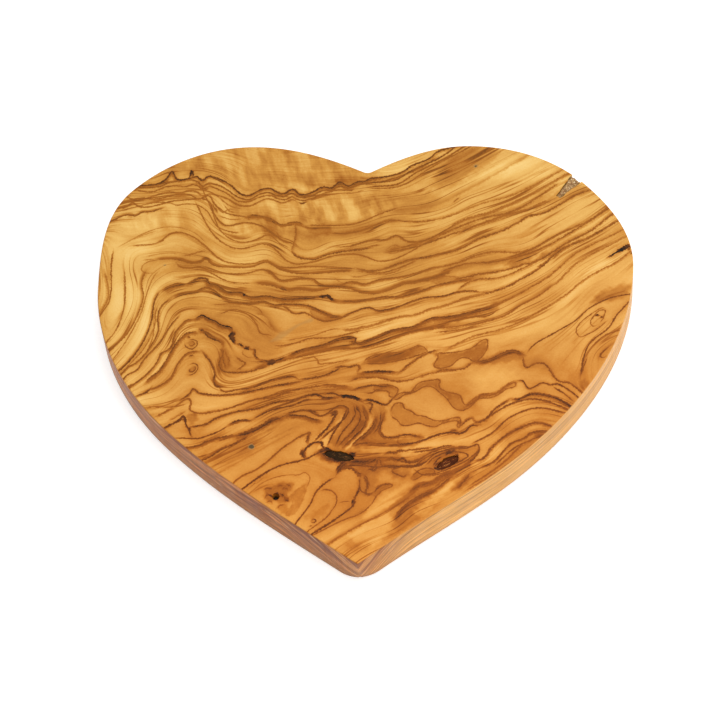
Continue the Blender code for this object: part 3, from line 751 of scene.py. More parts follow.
vein(1.8, 0.75, 69, -41.2, 71, -40.2, 73.5, -39.3)
vein(0.7, 0.68, 106.5, 19.5, 102.5, 14.5, 100.5, 10.5, 91.5, 1.5, 89, -6.5, 88, -14)
vein(0.6, 0.63, 90.9, -4.2, 89, -10, 88.6, -12.5)
vein(0.6, 0.53, 103.5, 7.9, 99.1, 6.3, 93.3, 1.1, 92, -0.5)
vein(0.6, 0.63, 100.2, 1, 97, -2.1, 95.9, -3.9, 97.5, -4.5, 98.8, -3.6)
vein(0.5, 0.58, 95.5, 10.8, 93.2, 10, 92.5, 10.6, 94.2, 15.5, 96, 17.3, 98.3, 17.3, 98, 15.5, 96.9, 12.8,
     95.5, 10.8)
vein(0.5, 0.53, 99.5, 13, 94, 8, 90.5, 6, 88, 5, 87, 6, 94.5, 17, 97.5, 18.5, 99, 17.5)
vein(2.6, 0.22, 83.6, 1.2, 85.6, 3.5, 89, 8.5)
vein(1.9, 1, 102.8, 44.5, 105, 45.9, 107.4, 47.2, 109.8, 48.5)
vein(0.9, 1, 99, 42, 102, 43.8, 105, 45.8, 108, 47.4)
vein(0.8, 0.85, 107.6, 45.6, 108.8, 46.6)
vein(0.9, 0.9, 109, 44, 109.6, 44.8)

# %% Streaks of the swirl and the tip
streak(0.8, 0.7, 1, -70, -36, -62.5, -34.5, -59.5, -32.5, -45.5, -28, -42, -27.5, -36, -25, -27.5, -23.5,
       -21.5, -21.5, -18.5, -21, -17, -21.5, -15.5, -23, -10, -22)
streak(0.6, 0.6, 0.5, -68.3, -41.1, -65.5, -41.2, -62.6, -40.2, -56, -37.1, -53.6, -35.2)
streak(1, 0.82, 1, -54, -35.5, -50.2, -33.6, -47.4, -32.9, -45, -33.1, -43.4, -32.3)
vein(0.7, 0.65, -44, -32.5, -37, -28.5, -27.5, -26, -21.5, -23.5, -19, -23.5)
streak(1, 0.65, 1.4, -70, -45.5, -67, -45, -58.5, -41.5, -50, -39.5)
streak(1.5, 0.84, 2.4, -51.5, -40, -46, -38.5, -40, -35.5, -37.5, -33.5, -31, -31)
streak(1.1, 0.75, 0.8, -63, -50.5, -60, -49, -57, -46.5, -50, -43, -44.5, -39)
vein(0.7, 0.5, -66, -49.8, -63.1, -49, -61, -48)
streak(0.6, 0.5, 0.8, -50, -60.5, -48.5, -59, -41.5, -55, -29, -43.5, -23, -39.5, -20.5, -38.5, -21, -40,
       -22.5, -41.5)
streak(0.7, 0.7, 0.6, -46.5, -63.5, -37, -56, -33.5, -54, -21, -50, -16, -47.5, -14, -47.5)
streak(1.2, 0.85, 0.8, -21.6, -50.4, -22.4, -49.2, -23, -47.6, -22.4, -45.8)
streak(0.9, 0.75, 1.5, -16, -47, -13, -50, -9, -51, 2.5, -51.5, 7, -49.5)
streak(1.3, 0.85, 0.8, -4.2, -51.4, -7.8, -55, -9.3, -57.6)
vein(1.2, 0.75, -8.2, -55.4, -5.4, -54.2, -3, -54.6, 0.4, -58.6)
vein(0.7, 0.65, -7.5, -55, -5.5, -54, 8.5, -54, 11.5, -53.5, 21.5, -54, 24.5, -53, 30, -48, 34, -46.5,
     47, -44.5)
vein(1.1, 0.75, 46.7, -44.4, 47.4, -45.7, 46.4, -48.1, 45.2, -50, 42, -53)
vein(0.7, 0.65, -9.5, -58.5, -11.5, -59.5, -17.5, -65.5, -19.5, -70.5, -24, -77.5)
vein(0.6, 0.5, -16.5, -65, -13, -64, -10.5, -65, -9, -67.5, -11.5, -74.5, -19.5, -82)
vein(0.9, 0.75, 0, -60.5, -0.5, -64.5, -2, -68, -2.5, -71, -6, -74.5, -17.5, -83)
vein(1.6, 0.9, -1.8, -68.3, -2.3, -69.8, -2.7, -71)
vein(0.5, 0.5, -8.3, -70, -6, -69.4, -3.2, -69.3)
vein(0.6, 0.5, -16, -83, -5, -77, 0, -75, 5.5, -69.5, 7.5, -65)
vein(1.8, 0.45, -11, -87, 0, -79.5, 9.5, -74, 20, -66.5, 23, -63.5)
streak(0.8, 0.6, 2.2, 14, -77, 15, -75, 23.5, -67, 30, -64, 37, -57.5)
vein(0.7, 0.6, 20.2, -47.6, 28.3, -46.3, 35, -44.5, 37.9, -44.5)
streak(0.9, 0.78, 0.6, 15, -41.5, 15, -43.5, 20, -43.5, 33, -39, 36, -38.5, 39.5, -39, 42, -38, 43.5, -36,
       48, -35)
vein(1.2, 0.6, 35.5, -37.8, 37.5, -37.2, 39, -38)
vein(0.6, 0.5, 5.5, -63.6, 8.8, -61.9, 13.1, -61.7)
vein(0.7, 0.6, -0.2, -57.5, 1.2, -65.2, 4.5, -66, 6.2, -64.2)
vein(0.6, 0.5, 2, -59, 3.2, -62, 3.8, -64.8)
vein(0.6, 0.5, 18.8, -52.1, 21.7, -51, 25.5, -50.4)
vein(0.5, 0.4, -41.5, -63.5, -39.5, -61.5, -36, -59.5, -28, -57.5, -24.5, -57.5, -22, -56.5, -20, -58.5,
     -20.5, -61.5, -22, -64.5)
vein(0.5, 0.4, -43, -65.5, -37.8, -62.4, -35, -61.6)
vein(1.4, 0.92, -18, -47.4, -15.6, -46.6, -13.4, -46.4, -11, -47)
vein(1, 0.95, -15.4, -46, -14, -46.4, -12.6, -47)
vein(1.6, 0.95, -5.4, -48, -3.4, -48.6, -1.6, -48.4)
vein(1.5, 0.85, -5, -50.6, -1.6, -51.3, 2.4, -51.1, 5, -50.2)
vein(1.2, 0.85, -15.6, -49.4, -13, -50.6, -9.4, -51, -6, -50.8)
vein(0.8, 0.65, 3, -55.6, 5, -54.6, 6.4, -52.8, 6.8, -51, 6.2, -49.6)
vein(0.9, 0.7, 12, -56.4, 14, -54.6, 24, -53, 28, -50.4)
vein(0.8, 0.6, 14, -50, 17, -51.6, 22, -51, 27, -49)
vein(0.8, 0.5, 8, -48, 30, -45)
vein(0.9, 0.68, 1, -57, 3, -63, 2.2, -65.8, 4, -66.6, 6, -65.2)
vein(0.8, 0.65, 5.4, -66, 8, -62.8, 11, -61.8, 13, -62.2)
vein(2.4, 1, -35, -66.6, -33.4, -66.8, -31.4, -66.6)
vein(1.8, 1, -34, -67.2, -33.2, -68, -32.9, -68.8)
vein(1, 0.9, -36.8, -66, -35.6, -66.6, -34.4, -67.6)
vein(0.9, 0.85, -32, -66, -30.6, -66.4, -30.8, -67.6)
vein(0.8, 0.6, -38, -64.4, -37, -63.4, -35.6, -63.7, -34.4, -63)
vein(0.9, 0.58, -37.8, -68, -36.8, -66.4, -37.2, -65)
vein(1.3, 0.58, -33.4, -62.8, -31.6, -61.8, -30, -62.5)
vein(1.4, 0.62, -29.6, -61.3, -28.2, -61.7, -27.4, -63.2)
vein(1, 0.58, -31.2, -64.3, -29.4, -63.6, -28.6, -64.8)
vein(1.7, 0.78, -30.2, -69, -28.9, -68.3, -27.9, -69)
vein(0.8, 0.6, -30.4, -66.6, -29.6, -67.8, -30.2, -69)
vein(0.8, 0.52, -36.8, -69.7, -35.4, -69, -34.6, -70.3)
vein(1, 0.5, -33, -72.6, -31.4, -71, -29.4, -70.7)
vein(0.5, 0.65, -19.2, -78, -18.2, -77.1, -17.1, -77.4, -17.2, -78.4, -18.4, -78.8, -19.2, -78)
vein(0.9, 0.5, -18.6, -78, -17.8, -77.9)
vein(0.9, 0.6, -19.4, -80.3, -18.7, -80.1)

# %% Ribbons of the swirl
streak(0.8, 0.85, 1, -25, -22.5, -19.5, -21.4, -18, -21.4, -15, -22.8, -9.5, -22.3)
vein(0.6, 0.7, -16.4, -21.6, -11.8, -20.6, -9.5, -21.6, -7, -22.2)
streak(1.4, 1, 0.8, -10, -22.1, -2.7, -22.8, -0.9, -23.7, 0.9, -24)
streak(0.8, 0.9, 1, 0, -24, 2.7, -23.7, 7.7, -25.4, 10, -25.8)
streak(0.8, 0.78, 0.8, -23, -28, -19.1, -28.9, -17.5, -29.6)
streak(0.8, 0.8, 2, -31.4, -30.8, -28, -30.7, -23.2, -31.2, -17.7, -33, -15.8, -33.2)
streak(0.7, 0.65, 0.6, -31, -30, -22.5, -28.5, -16.5, -31, -7.5, -26.5, -6.5, -27, -15, -40.5, -16.5, -42)
vein(0.8, 0.8, -15, -31, -10, -29, -11.5, -33, -19, -43)
vein(1, 0.92, -12.5, -31, -11.6, -30.4, -10.4, -29.8)
vein(0.6, 0.65, -5.5, -26.5, -8, -33.5, -11, -38.5, -13.5, -45)
vein(0.6, 0.65, -3.5, -25.5, -2.5, -30, -5, -35, -7, -37.5, -10.5, -45.5)
vein(0.7, 0.7, -2, -26, -0.5, -30.5, -9.5, -45.5)
vein(1.3, 0.78, -1.9, -26, -1.4, -27.6, -0.9, -29)
streak(0.8, 0.75, -1.4, 0, -26.5, 2, -33, -4, -42, -7.5, -45.5)
vein(0.9, 0.78, 0.9, -25.5, 3.9, -25.5, 4.1, -26.6, 3.4, -28.5, 3.4, -29.8, 4.5, -30.3)
streak(0.8, 0.65, -1.6, 5.2, -31.6, 5, -34.8, 3.6, -37.1, -2.7, -43.5, -3.9, -45.3)
vein(0.7, 0.6, 7.7, -28, 7.7, -31.6, 7.3, -34.4, 6.4, -37.1, 4, -40)
streak(0.9, 0.7, 1.2, 9.5, -30, 8, -38.5, 9, -40, 13.5, -40.5, 17, -39.5, 25, -40.5)
vein(0.8, 0.6, -4, -45.2, 0, -43.6, 4, -43.4, 8, -43.8, 12, -43)
streak(0.8, 0.84, 1, -22.3, -49.8, -23, -48, -22.3, -46.2, -20.5, -44.1, -19.1, -43.2, -17.3, -42.8,
       -15.5, -43.2, -15.2, -44.8, -14.6, -45.7, -10.9, -47.1)
streak(1, 0.65, 1, -21.4, -43.6, -21.4, -42.1, -20.9, -39.8, -20.5, -38.9)

# %% Bands right of the swirl
patch(0.55, 0.5, 0.5, 11.5, -23.5, 16, -20.5, 20, -20, 21.5, -17.5, 23, -16, 27, -15, 31.5, -15, 31, -16.5,
      31.5, -18.5, 34, -20, 40, -22.5, 40.5, -24.5, 41.5, -26, 44, -25.5, 46.5, -23.5, 48, -21.5, 50, -21,
      53, -21, 59, -17, 62, -16, 62, -17, 58, -19, 54, -22, 51, -23, 48, -23, 43, -27.5, 40.5, -28.5,
      38, -28, 36, -26, 34.5, -23.5, 32, -21, 27, -17.5, 24.5, -18, 21.5, -20, 17, -21.5, 14, -23.5)
patch(0.55, 0.5, 0.5, 11.5, -30, 12, -28, 13.5, -25.5, 16.5, -25.5, 17, -27.5, 19.5, -28.5, 22, -30.5,
      26, -31.5, 29, -33, 34, -33, 36.5, -32, 39.5, -32, 40, -34, 39, -36.5, 38.5, -35.5, 39, -34,
      32.5, -34.5, 29.5, -36, 26.5, -35.5, 24, -34.5, 16, -35, 14.5, -33, 12.5, -31.5)
vein(1.2, 0.65, 38.8, -36.6, 43, -32.4, 44.6, -31.8, 45.8, -33)
patch(0.5, 0.5, 0.5, 5, -17, 11, -17, 14.5, -19, 14, -21, 13, -22.5, 11, -22, 11, -20.5, 8, -19.5, 5, -19.5)
vein(0.8, 0.6, 6.6, -25.4, 10, -25.8, 12.6, -23, 14, -22)

# %% Bands below the right bark
patch(0.5, 0.5, 0.55, 20, -59, 24.5, -55, 27, -54.5, 29, -55, 30, -56.5, 26.5, -57, 20.5, -59.5)
streak(0.8, 0.5, 2.4, 19.5, -65, 24.5, -61, 28, -60.5, 32.5, -57.5, 39, -55, 44, -51.5)
vein(1, 0.5, 24.7, -65.8, 28.6, -64.1, 33.6, -59.7, 36.9, -57.4, 39.1, -56.3)
vein(2.2, 0.62, 37.4, -64.1, 39.1, -62.4, 44.1, -55.8)
streak(0.7, 0.45, 0.8, 43.5, -62.5, 57, -52, 66, -42)
streak(0.7, 0.42, 0.8, 41.5, -65, 58, -53.5, 66, -46.5)
vein(0.6, 0.4, 46.5, -54.5, 50, -54, 53.5, -52, 59.5, -44.5, 62, -42.5)
vein(2, 0.75, 30.2, -54.4, 31.2, -53, 32.2, -51.4)
vein(2.4, 0.72, 35.6, -48.6, 37, -47.6, 38.6, -46.5)
vein(1.6, 0.7, 39.2, -48, 38.6, -49.8, 39.2, -51.2)

# %% Ragged strokes right of the centre bark
streak(0.8, 0.65, 0.8, 9, -48.6, 11, -47.4, 14, -47.8, 16, -46.6, 19, -47.2)
streak(1, 0.7, 1.2, 10, -50.6, 12.5, -49.8, 15, -50.8, 17, -50, 19, -51.8, 22, -51.4, 25.6, -50.4)
streak(0.9, 0.75, -1, 9, -53.6, 12, -54.2, 15, -54.2, 17, -53.6, 20, -54, 23, -53.2, 26, -51.6)
vein(0.9, 0.65, 12.6, -54.4, 13, -56, 15.4, -57.6, 17.6, -58.2, 19, -56.6)
vein(0.8, 0.6, 6.4, -50, 8, -51.2, 8.6, -53, 10.4, -54.2)
vein(0.9, 0.7, 2.4, -56, 4, -55, 5.4, -55.8, 7, -54.4, 8.4, -55.2)
vein(0.8, 0.6, 1, -57, 2.6, -58.6, 3.4, -61, 4.4, -63)

# %% Strokes that fray the edges of the centre bark
vein(1.4, 1.0, -14.8, -45.5, -13, -46.2, -11.4, -46.9)
vein(1.5, 1.0, -13.6, -47.6, -14.6, -48.4, -15.6, -48.6)
vein(1.3, 0.95, -12, -50, -9, -51.2, -6.4, -51.4)
vein(1.3, 0.95, -4.4, -47.8, -2.8, -48.2, -1.6, -47.6)
vein(1.9, 0.85, -4.4, -50.8, -6.2, -52, -8, -54, -9.4, -56.6)
vein(1.0, 0.75, -0.8, -53.6, -3.4, -53.2, -6, -54.4, -8, -56)
vein(1.7, 0.8, -1.6, -56.2, 0, -57.6, 1.2, -57)
vein(1.9, 0.78, -22.6, -45.6, -23, -48, -22.2, -50)

# %% Stains: brown areas between the streaks
patch(0.8, 0.5, 0.5, 0, -7, 2, -4.5, 8, -2.5, 14.5, -2, 24.5, 0.5, 26, -1.5, 23, -3, 13, -6, 8, -7)
patch(0.8, 0.5, 0.52, 28, -2.5, 37, -2, 41.5, -1, 45, 0.5, 47.5, 3, 50, 4, 50.5, 1, 44.5, -6, 42.5, -4.5,
      40, -4.5, 35, -8.5, 30, -9, 29, -8.5, 30.5, -3.5)
stain(0.6, 0.7, 44.5, -6.5, 62.5, -1.5, 65.5, -3, 51, -7.5)
stain(0.55, 0.5, -30.5, -3.5, -23, 0, -7.5, 4.5, -4, 5, -3.5, 3, -6, 0, -10.5, -0.5, -22, -3)
stain(0.55, 0.5, -2.5, 2.5, 4.5, 5, 12, 8.5, 20, 10, 27, 13.5, 28.5, 8.5, 21, 7.5, 13, 4.5, 5.5, 2.5, -1, 0)
stain(0.7, 0.6, 28, 14, 49, 18.5, 55.5, 21.5, 55, 18.5, 49, 14.5, 45, 14.5, 38.5, 12.5, 28, 10)
patch(0.6, 0.5, 0.42, -22.5, 19, -17, 17.5, -11.5, 15, -8.5, 14.5, -12.5, 13, -18, 13, -20.5, 14.5)
stain(0.5, 1, -15, 31, -8, 33, 0, 33, 1, 31, -7, 30, -13, 30)
stain(1, 0.6, -24, 57, -21, 57.8, -19.5, 56.2, -22, 55.5)
stain(0.6, 1, -28, 52.5, -23, 53.5, -18, 52, -22, 51, -27, 51.5)
stain(0.5, 0.6, 21, 71.8, 24, 73.8, 26.4, 75, 26.8, 74.2, 23.5, 72.3)
stain(0.95, 0.9, 57, 38.5, 61, 38, 66, 40.5, 71.5, 46, 67, 45, 63, 42.5, 58, 40.5)
stain(0.8, 0.7, 70.5, 41, 73, 41.6, 76, 44.2, 75, 45, 72, 43.4)
stain(0.55, 0.8, 48, 61, 60, 64, 66, 67.5, 54, 64.5, 49, 62.5)
stain(0.55, 1, 71, 65, 92, 75.5, 88, 77, 73, 68.5)
stain(0.4, 0.9, 49, 58.5, 55, 59, 60, 60.5, 56, 61, 50, 60)
stain(0.6, 1.2, -16.5, -18, -13, -16.8, -8.5, -17.5, -10, -20, -14.5, -20.5)
stain(0.7, 0.6, 23.8, -62.8, 26, -61.4, 28.2, -61.6, 27, -63.6, 24.8, -64)
stain(0.5, 0.4, 9, -73.5, 20, -64.5, 22, -62, 26, -61.5, 29, -60, 31, -58.5, 36, -56.5, 39.5, -56.5,
      34.5, -60, 30, -64, 27, -65.5, 24, -66.5, 20, -69, 15, -71.5)
stain(0.5, 0.4, 14, -77.5, 15, -75, 17.5, -72, 20.5, -70, 23.5, -67.5, 29.5, -65, 28, -67, 25, -69,
      23, -71.5, 21.5, -74.5, 19, -77, 15.5, -79)
stain(0.6, 0.6, 36, -65.5, 37.5, -62.5, 40, -59.5, 43, -57, 46.5, -55, 45, -58, 39, -64.5)
stain(-0.6, 0.5, 38.4, -50.4, 39, -48, 41, -47, 42.6, -47.4, 41.4, -48.8, 39.8, -50)
stain(-0.5, 1.5, 3, -72, 17, -62.5, 21, -61, 17, -66, 2, -77)
stain(-0.6, 1.5, -4, -84, 12, -74.5, 13, -77.5, 12.5, -81, 6, -88, 0, -88)
stain(-0.6, 0.8, 22, -74, 37.5, -59.5, 36, -63.5, 33, -67, 23, -75.5)
stain(0.55, 2, 6.5, -90, 15, -80.5, 14, -77.5, 20, -76, 31, -70, 26, -76)
stain(0.4, 2, -5, -88.5, -1, -86.5, 4, -87, 4.5, -89.5, 0.5, -92, -3.5, -91)
stain(0.6, 0.8, 87, -15.5, 89.5, -14.5, 91.8, -16, 90.8, -18.8, 88, -19)
stain(0.4, 1.5, -49.5, -42, -45.5, -39.8, -41.8, -41, -43, -44, -47.5, -44.3)
stain(0.95, 1.6, 92.5, 20.5, 107, 25, 109, 28.5, 94.5, 24)
stain(0.8, 0.6, 41.8, -51.5, 43.6, -50.6, 44.4, -52.6, 43, -54.2, 42, -53.2)
stain(0.7, 0.8, 69, -38.6, 72.5, -37.6, 75.3, -38.4, 73.5, -41, 70, -40.8)
stain(0.7, 0.8, -57.5, 2, -55, 0, -53, -6, -54.5, -10.5, -57.5, -10.5, -59.5, -6)
stain(0.55, 0.8, -53, -3, -48.4, -6.6, -52, -10.2, -54.6, -10)
stain(0.6, 1, -60.5, 10.6, -55, 8.8, -54.6, 6.4, -57, 6.6, -60.5, 8.6)
stain(0.75, 0.7, -70, -29.6, -66.6, -30, -66, -32, -68.8, -35, -70.4, -33)
stain(0.6, 0.5, -72.4, 3, -70, 0.4, -68.4, 2, -70, 3.8)
stain(0.6, 0.5, -70.3, -8.4, -68.2, -7.6, -67.8, -9.6, -69.6, -11.4, -70.8, -10.6)
patch(0.65, 0.6, 0.45, 7.5, 45, 10, 47.5, 12.5, 48.5, 14, 47.5, 18, 48, 24, 50, 20, 47.5, 15, 45.5,
      10, 44.5)
stain(0.6, 1, -5.5, 41.5, -3, 43.5, 0.5, 43, 3.5, 41.5, 0, 40, -3.5, 40)
patch(0.6, 0.6, 0.42, 27, 31.5, 30, 33, 34, 33.5, 39, 32.5, 36, 30.5, 31, 29.5)
stain(0.5, 0.8, 7, 59.4, 9.6, 60.6, 14.5, 60.4, 13, 58.8, 9, 58.4)
stain(0.6, 1, -51, 63.5, -45, 64, -40, 63, -37, 60.5, -38.5, 59, -43, 60.5, -50, 61)
stain(0.8, 0.8, -25.5, 58, -20, 58.5, -14.5, 58, -14.5, 54.5, -25, 55.5)
stain(0.55, 1.2, -26, 54, -19, 54, -18, 50, -24, 49.6)

# %% Stains of the swirl, the bark and the knot
stain(0.6, 0.6, 5.5, -26, 9.5, -26.5, 10, -30, 8.5, -39, 10.5, -41, 25, -41, 24, -43, 6, -44, -3, -45,
      -2.5, -43.5, 4, -37, 5.5, -34.5, 5.5, -31.5, 4.5, -28.5)
stain(0.55, 0.5, -6, -29, -4, -27, -1.5, -30, -2, -33, -10, -45, -12, -44)
stain(0.85, 0.5, -1, -31, 1.5, -33, -4.5, -42, -7, -45, -8.5, -44.5, -2, -34.5)
stain(0.5, 0.8, -23, -26.5, -16, -24, -8, -24, -6, -26, -14, -29.5, -18, -29.5)
stain(-0.6, 0.4, -7, -29, -15.5, -46, -14, -45.5, -12, -41, -7, -31.5)
stain(-0.65, 0.5, 4, -30.5, 0, -38, -6.5, -47, -4, -46, 2.5, -37.5, 4.5, -33.5)
stain(-0.5, 0.5, -13, -33, -15.5, -38, -19, -43, -17, -42.5, -14, -37.5)
stain(0.55, 0.9, -17, -48, -14, -51.5, -9, -53, -4, -53, -1, -60, -1, -66, 3, -67, 6, -64, 7, -60, 9, -56,
      20, -54.5, 30, -49, 26, -48, 18, -49, -10, -45.5, -15, -45.5)
patch(0.6, 0.5, 0.5, 5, -66, 8, -62.5, 12, -61.5, 13, -62, 9, -64.5, 6, -67)
stain(0.6, 1, 11, -56, 16, -55, 21, -55, 19, -58, 14, -59)
patch(0.9, 0.5, 0.25, -20.5, -60, -22.5, -62.5, -25.5, -64.5, -27.5, -67, -26.5, -70, -29, -75.5, -26, -75,
      -24, -72, -22, -66.5)
stain(0.9, 0.8, -38.5, -64.5, -36, -62.5, -30, -61, -27, -61, -26, -63, -28.5, -65.5, -28, -69.5,
      -30.5, -70.5, -33, -69.5, -36.5, -69.5)
stain(0.7, 0.8, -33, -72.8, -30.6, -70.6, -28.6, -71, -28, -73.6, -29.6, -75.4)
stain(0.6, 0.6, -24.5, -77.5, -20, -74.5, -11.5, -70.5, -12.5, -73.5, -15, -76)
stain(0.7, 1.2, -3, -51, 4, -50, 9, -50.6, 13, -53, 10, -56, 4, -58, 0, -59, -1, -56, -2, -53.6)
stain(0.9, 0.8, -18, -47.6, -15, -46.6, -12, -48.6, -8, -51, -10, -52, -14, -51.6, -16, -50)

# %% The eye round the right bark
patch(0.35, 0.6, 0.6, 21, -54.5, 26, -50, 31, -47.5, 37, -46, 43, -45.5, 47, -44, 47.5, -45.5, 45, -49,
      41, -52, 36, -54.5, 24, -57)
vein(0.7, 0.65, 26, -53.5, 30, -49.5, 35, -47.5, 40, -47.5, 43, -48.5, 37, -53, 33, -55)
vein(0.8, 0.75, 29, -53.6, 30.6, -51, 33, -49)
vein(0.8, 0.7, 39.6, -49.4, 38.6, -51.6, 36.4, -53.4)
vein(1.7, 0.9, 29.6, -53.4, 30.8, -54.6, 33.4, -54.6)
vein(1.6, 0.9, 33.4, -48.8, 35.4, -47.4, 37.4, -47.4)
vein(1.6, 0.85, 37.8, -47.8, 38.8, -49, 38.2, -50.8)
vein(0.7, 0.55, 22, -52, 26.5, -48.5, 32, -46, 43, -44.5)
vein(0.7, 0.5, 26, -58.5, 38, -55, 43, -52, 46.5, -48.5)

# %% Pin knots at the right
vein(0.5, 0.3, 84, 1.5, 98.5, 16.5)
vein(0.5, 0.25, 74, -3, 93.5, 16)
vein(0.5, 0.25, 80, -8, 91, 6, 100, 13.5)

# %% Broad tones: the darker strip along the top edge, and paler parts
stain(0.36, 2, -97, 76, -80, 83, -66, 82.5, -51, 74.5, -42, 77.5, -30, 76.5, 6, 82, -2, 88, -25, 97,
      -52, 99, -80, 92)
stain(0.42, 4, -92, 80, -82, 85, -58, 82, -60, 92, -70, 96, -84, 92)
stain(0.46, 2, -58, 79, -51, 74, -42, 77, -30, 76, -18, 78, -20, 82, -48, 82)
stain(-0.3, 5, -108, 50, -103, 60, -85, 62, -86, 52, -95, 36, -98, 20, -107, 18)
stain(-0.5, 5, 42, 80, 66, 80, 78, 74, 84, 76, 80, 84, 70, 92, 58, 90)
stain(-0.22, 4, 56, 44, 100, 66, 106, 54, 92, 38, 74, 28, 60, 26)
stain(-0.25, 2, 28, 52, 45, 62, 58, 66, 78, 68, 88, 72, 60, 54, 40, 46)
stain(0.55, 2, 26, 76, 34, 90, 48, 95.5, 55, 94, 53, 90, 44, 83, 32, 76)
stain(0.45, 2.5, 0, 63, 26, 66, 30, 70, 12, 74.5, 0, 73)
stain(0.16, 6, -62, 28, -40, 24, 20, 36, 24, 30, 0, 22, -30, 18, -60, 20)
stain(-0.5, 6, 80, 22, 98, 44, 110, 46, 110, 28, 98, 24)

stain(0.3, 6, -98, -4, -86, 6, -70, 2, -64, -14, -74, -26, -88, -18)
stain(0.5, 4, -80, 36, -76, 50, -66, 48, -62, 38, -70, 34)
stain(-0.55, 5, 44, -12, 60, -8, 76, -12, 84, -22, 80, -36, 64, -36, 48, -26)
stain(-0.3, 5, -16, 8, 10, 18, 50, 12, 40, 0, 20, 0)
stain(0.4, 6, -56, 70, -30, 64, 0, 64, 40, 58, 80, 68, 78, 52, 50, 38, 0, 30, -50, 26, -42, 44)
stain(0.45, 5, -36, -8, -20, -6, 0, -14, 8, -28, -4, -38, -20, -40, -46, -30)
stain(0.3, 5, -50, -56, -28, -54, 6, -60, 8, -72, -18, -82, -40, -68)
stain(0.35, 5, -92, 54, -78, 56, -64, 50, -70, 44, -84, 44)
stain(0.4, 4, -70, 20, -58, 16, -36, 10, -36, -6, -40, -12, -58, -12)
stain(0.4, 4, -72, -36, -60, -38, -46, -36, -42, -44, -52, -54, -64, -50)
stain(0.45, 4, 56, -8, 76, -6, 88, -12, 84, -30, 74, -36, 66, -18)
stain(-0.4, 6, -110, 34, -92, 32, -80, 14, -78, -8, -94, -26, -104, 0)
stain(-0.3, 5, 44, 22, 70, 16, 96, 34, 100, 24, 84, 8, 60, 4, 40, 8)
stain(-0.55, 3, 16, -54, 18, -44, 34, -42, 56, -40, 56, -50, 46, -52, 30, -46, 24, -56)
stain(-0.3, 4, 24, -26, 42, -24, 46, -34, 30, -34)

# %% Curls: rippled fibres in the upper left
curl(0.5, 2.5, -78, 86, -62, 84, -52, 77, -4, 83, -14, 92, -40, 98, -66, 96)
curl(0.65, 2, -34, 71, -24, 70, -10, 73, 4, 72, 14, 68, 4, 62, -12, 60, -28, 60)
curl(0.4, 2, -104, 58, -90, 64, -74, 66, -72, 58, -88, 56)
curl(0.5, 2.5, -62, 70, -36, 68, -34, 52, -46, 52, -60, 58)

# %% Grey places: a healed scar and small dead knots
grey(0.2, 0.5, -39, 2.5, -36, 5.5, -31, 9, -25, 12.5, -20.5, 14, -20.5, 13, -25, 11, -35, 3.5)
grey(0.16, 0.8, -37.6, 3, -34, 8, -31.4, 8.6, -31.6, 6, -34.6, 3)
grey(1, 0.15, -45.2, -45, -44.2, -44, -43, -44.2, -42.8, -45.2, -43.8, -46)
grey(0.9, 0.15, 44.2, 86.2, 45, 87.2, 45.8, 86.8, 45.6, 85.9, 44.8, 85.7)
grey(0.8, 0.15, -83.2, 39.2, -82.7, 39.7, -82.1, 39.3, -82.6, 38.7)
vein(1.5, 0.95, 94.3, 14.5, 95, 15, 95.8, 14.9)
vein(1.3, 0.95, 96.3, 13.8, 96.9, 14.2, 97.5, 13.8)

# %% [markdown]
# ## From streaks to numbers on the mesh
#
# A shader can't measure the distance to hundreds of curves, but it can read numbers stored on the mesh. For
# each point of the top, the signed distance to its streak is stored, with the streak's ink and half width.
# A distance changes evenly from point to point, so the shader can draw a line much finer than the net.
# Streaks that run close together go to different layers, because one point can store one streak a layer.
# Towards the lower left the real streaks are riper: a factor makes them darker and wider there.

# %% A fine raster over the top face
RASTER_STEP = 0.6
RASTER_LOW = np.array([-115.0, -103.0])
RASTER_COUNT = np.array([384, 340])
LAYERS = 10
REACH = 1.2
HALO = 1.6
HALO_SHARE = 0.35
SPAN = 8
NO_FADE = 0.05
FAR = 9.0
HAIR_HALF = 0.3

raster_x = RASTER_LOW[0] + RASTER_STEP * np.arange(RASTER_COUNT[0])
raster_y = RASTER_LOW[1] + RASTER_STEP * np.arange(RASTER_COUNT[1])
raster_places = np.stack(np.meshgrid(raster_x, raster_y), -1).reshape(-1, 2)
cells = len(raster_places)
layer_distance = np.full((LAYERS, cells), FAR)
layer_ink = np.zeros((LAYERS, cells))
layer_half = np.full((LAYERS, cells), HAIR_HALF)
layer_fade = np.full((LAYERS, cells), NO_FADE)
layer_taken = np.zeros((LAYERS, cells), bool)
shade = np.zeros(cells)


def smooth(low, high, value):
    share = np.clip((value - low) / (high - low), 0, 1)
    return share * share * (3 - 2 * share)


def flowing(places, step=0.3):
    """A smooth line through the places: its points, their headings and their distance from an end."""
    chord = np.concatenate([[0], np.cumsum(np.hypot(*np.diff(places, axis=0).T))])
    slopes = np.gradient(places, chord, axis=0)
    stations = np.linspace(0, chord[-1], max(int(chord[-1] / step), 4))
    span = np.clip(np.searchsorted(chord, stations, side="right") - 1, 0, len(places) - 2)
    length = (chord[span + 1] - chord[span])[:, None]
    share = ((stations - chord[span])[:, None]) / length
    p, q, u, v = places[span], places[span + 1], slopes[span] * length, slopes[span + 1] * length
    line = ((2 * share ** 3 - 3 * share ** 2 + 1) * p + (share ** 3 - 2 * share ** 2 + share) * u
            + (3 * share ** 2 - 2 * share ** 3) * q + (share ** 3 - share ** 2) * v)
    heading = np.gradient(line, axis=0)
    heading /= np.hypot(*heading.T)[:, None] + 1e-12
    return line, heading, np.minimum(stations, chord[-1] - stations)


window = np.stack(np.meshgrid(np.arange(-SPAN, SPAN + 1), np.arange(-SPAN, SPAN + 1)), -1).reshape(-1, 2)


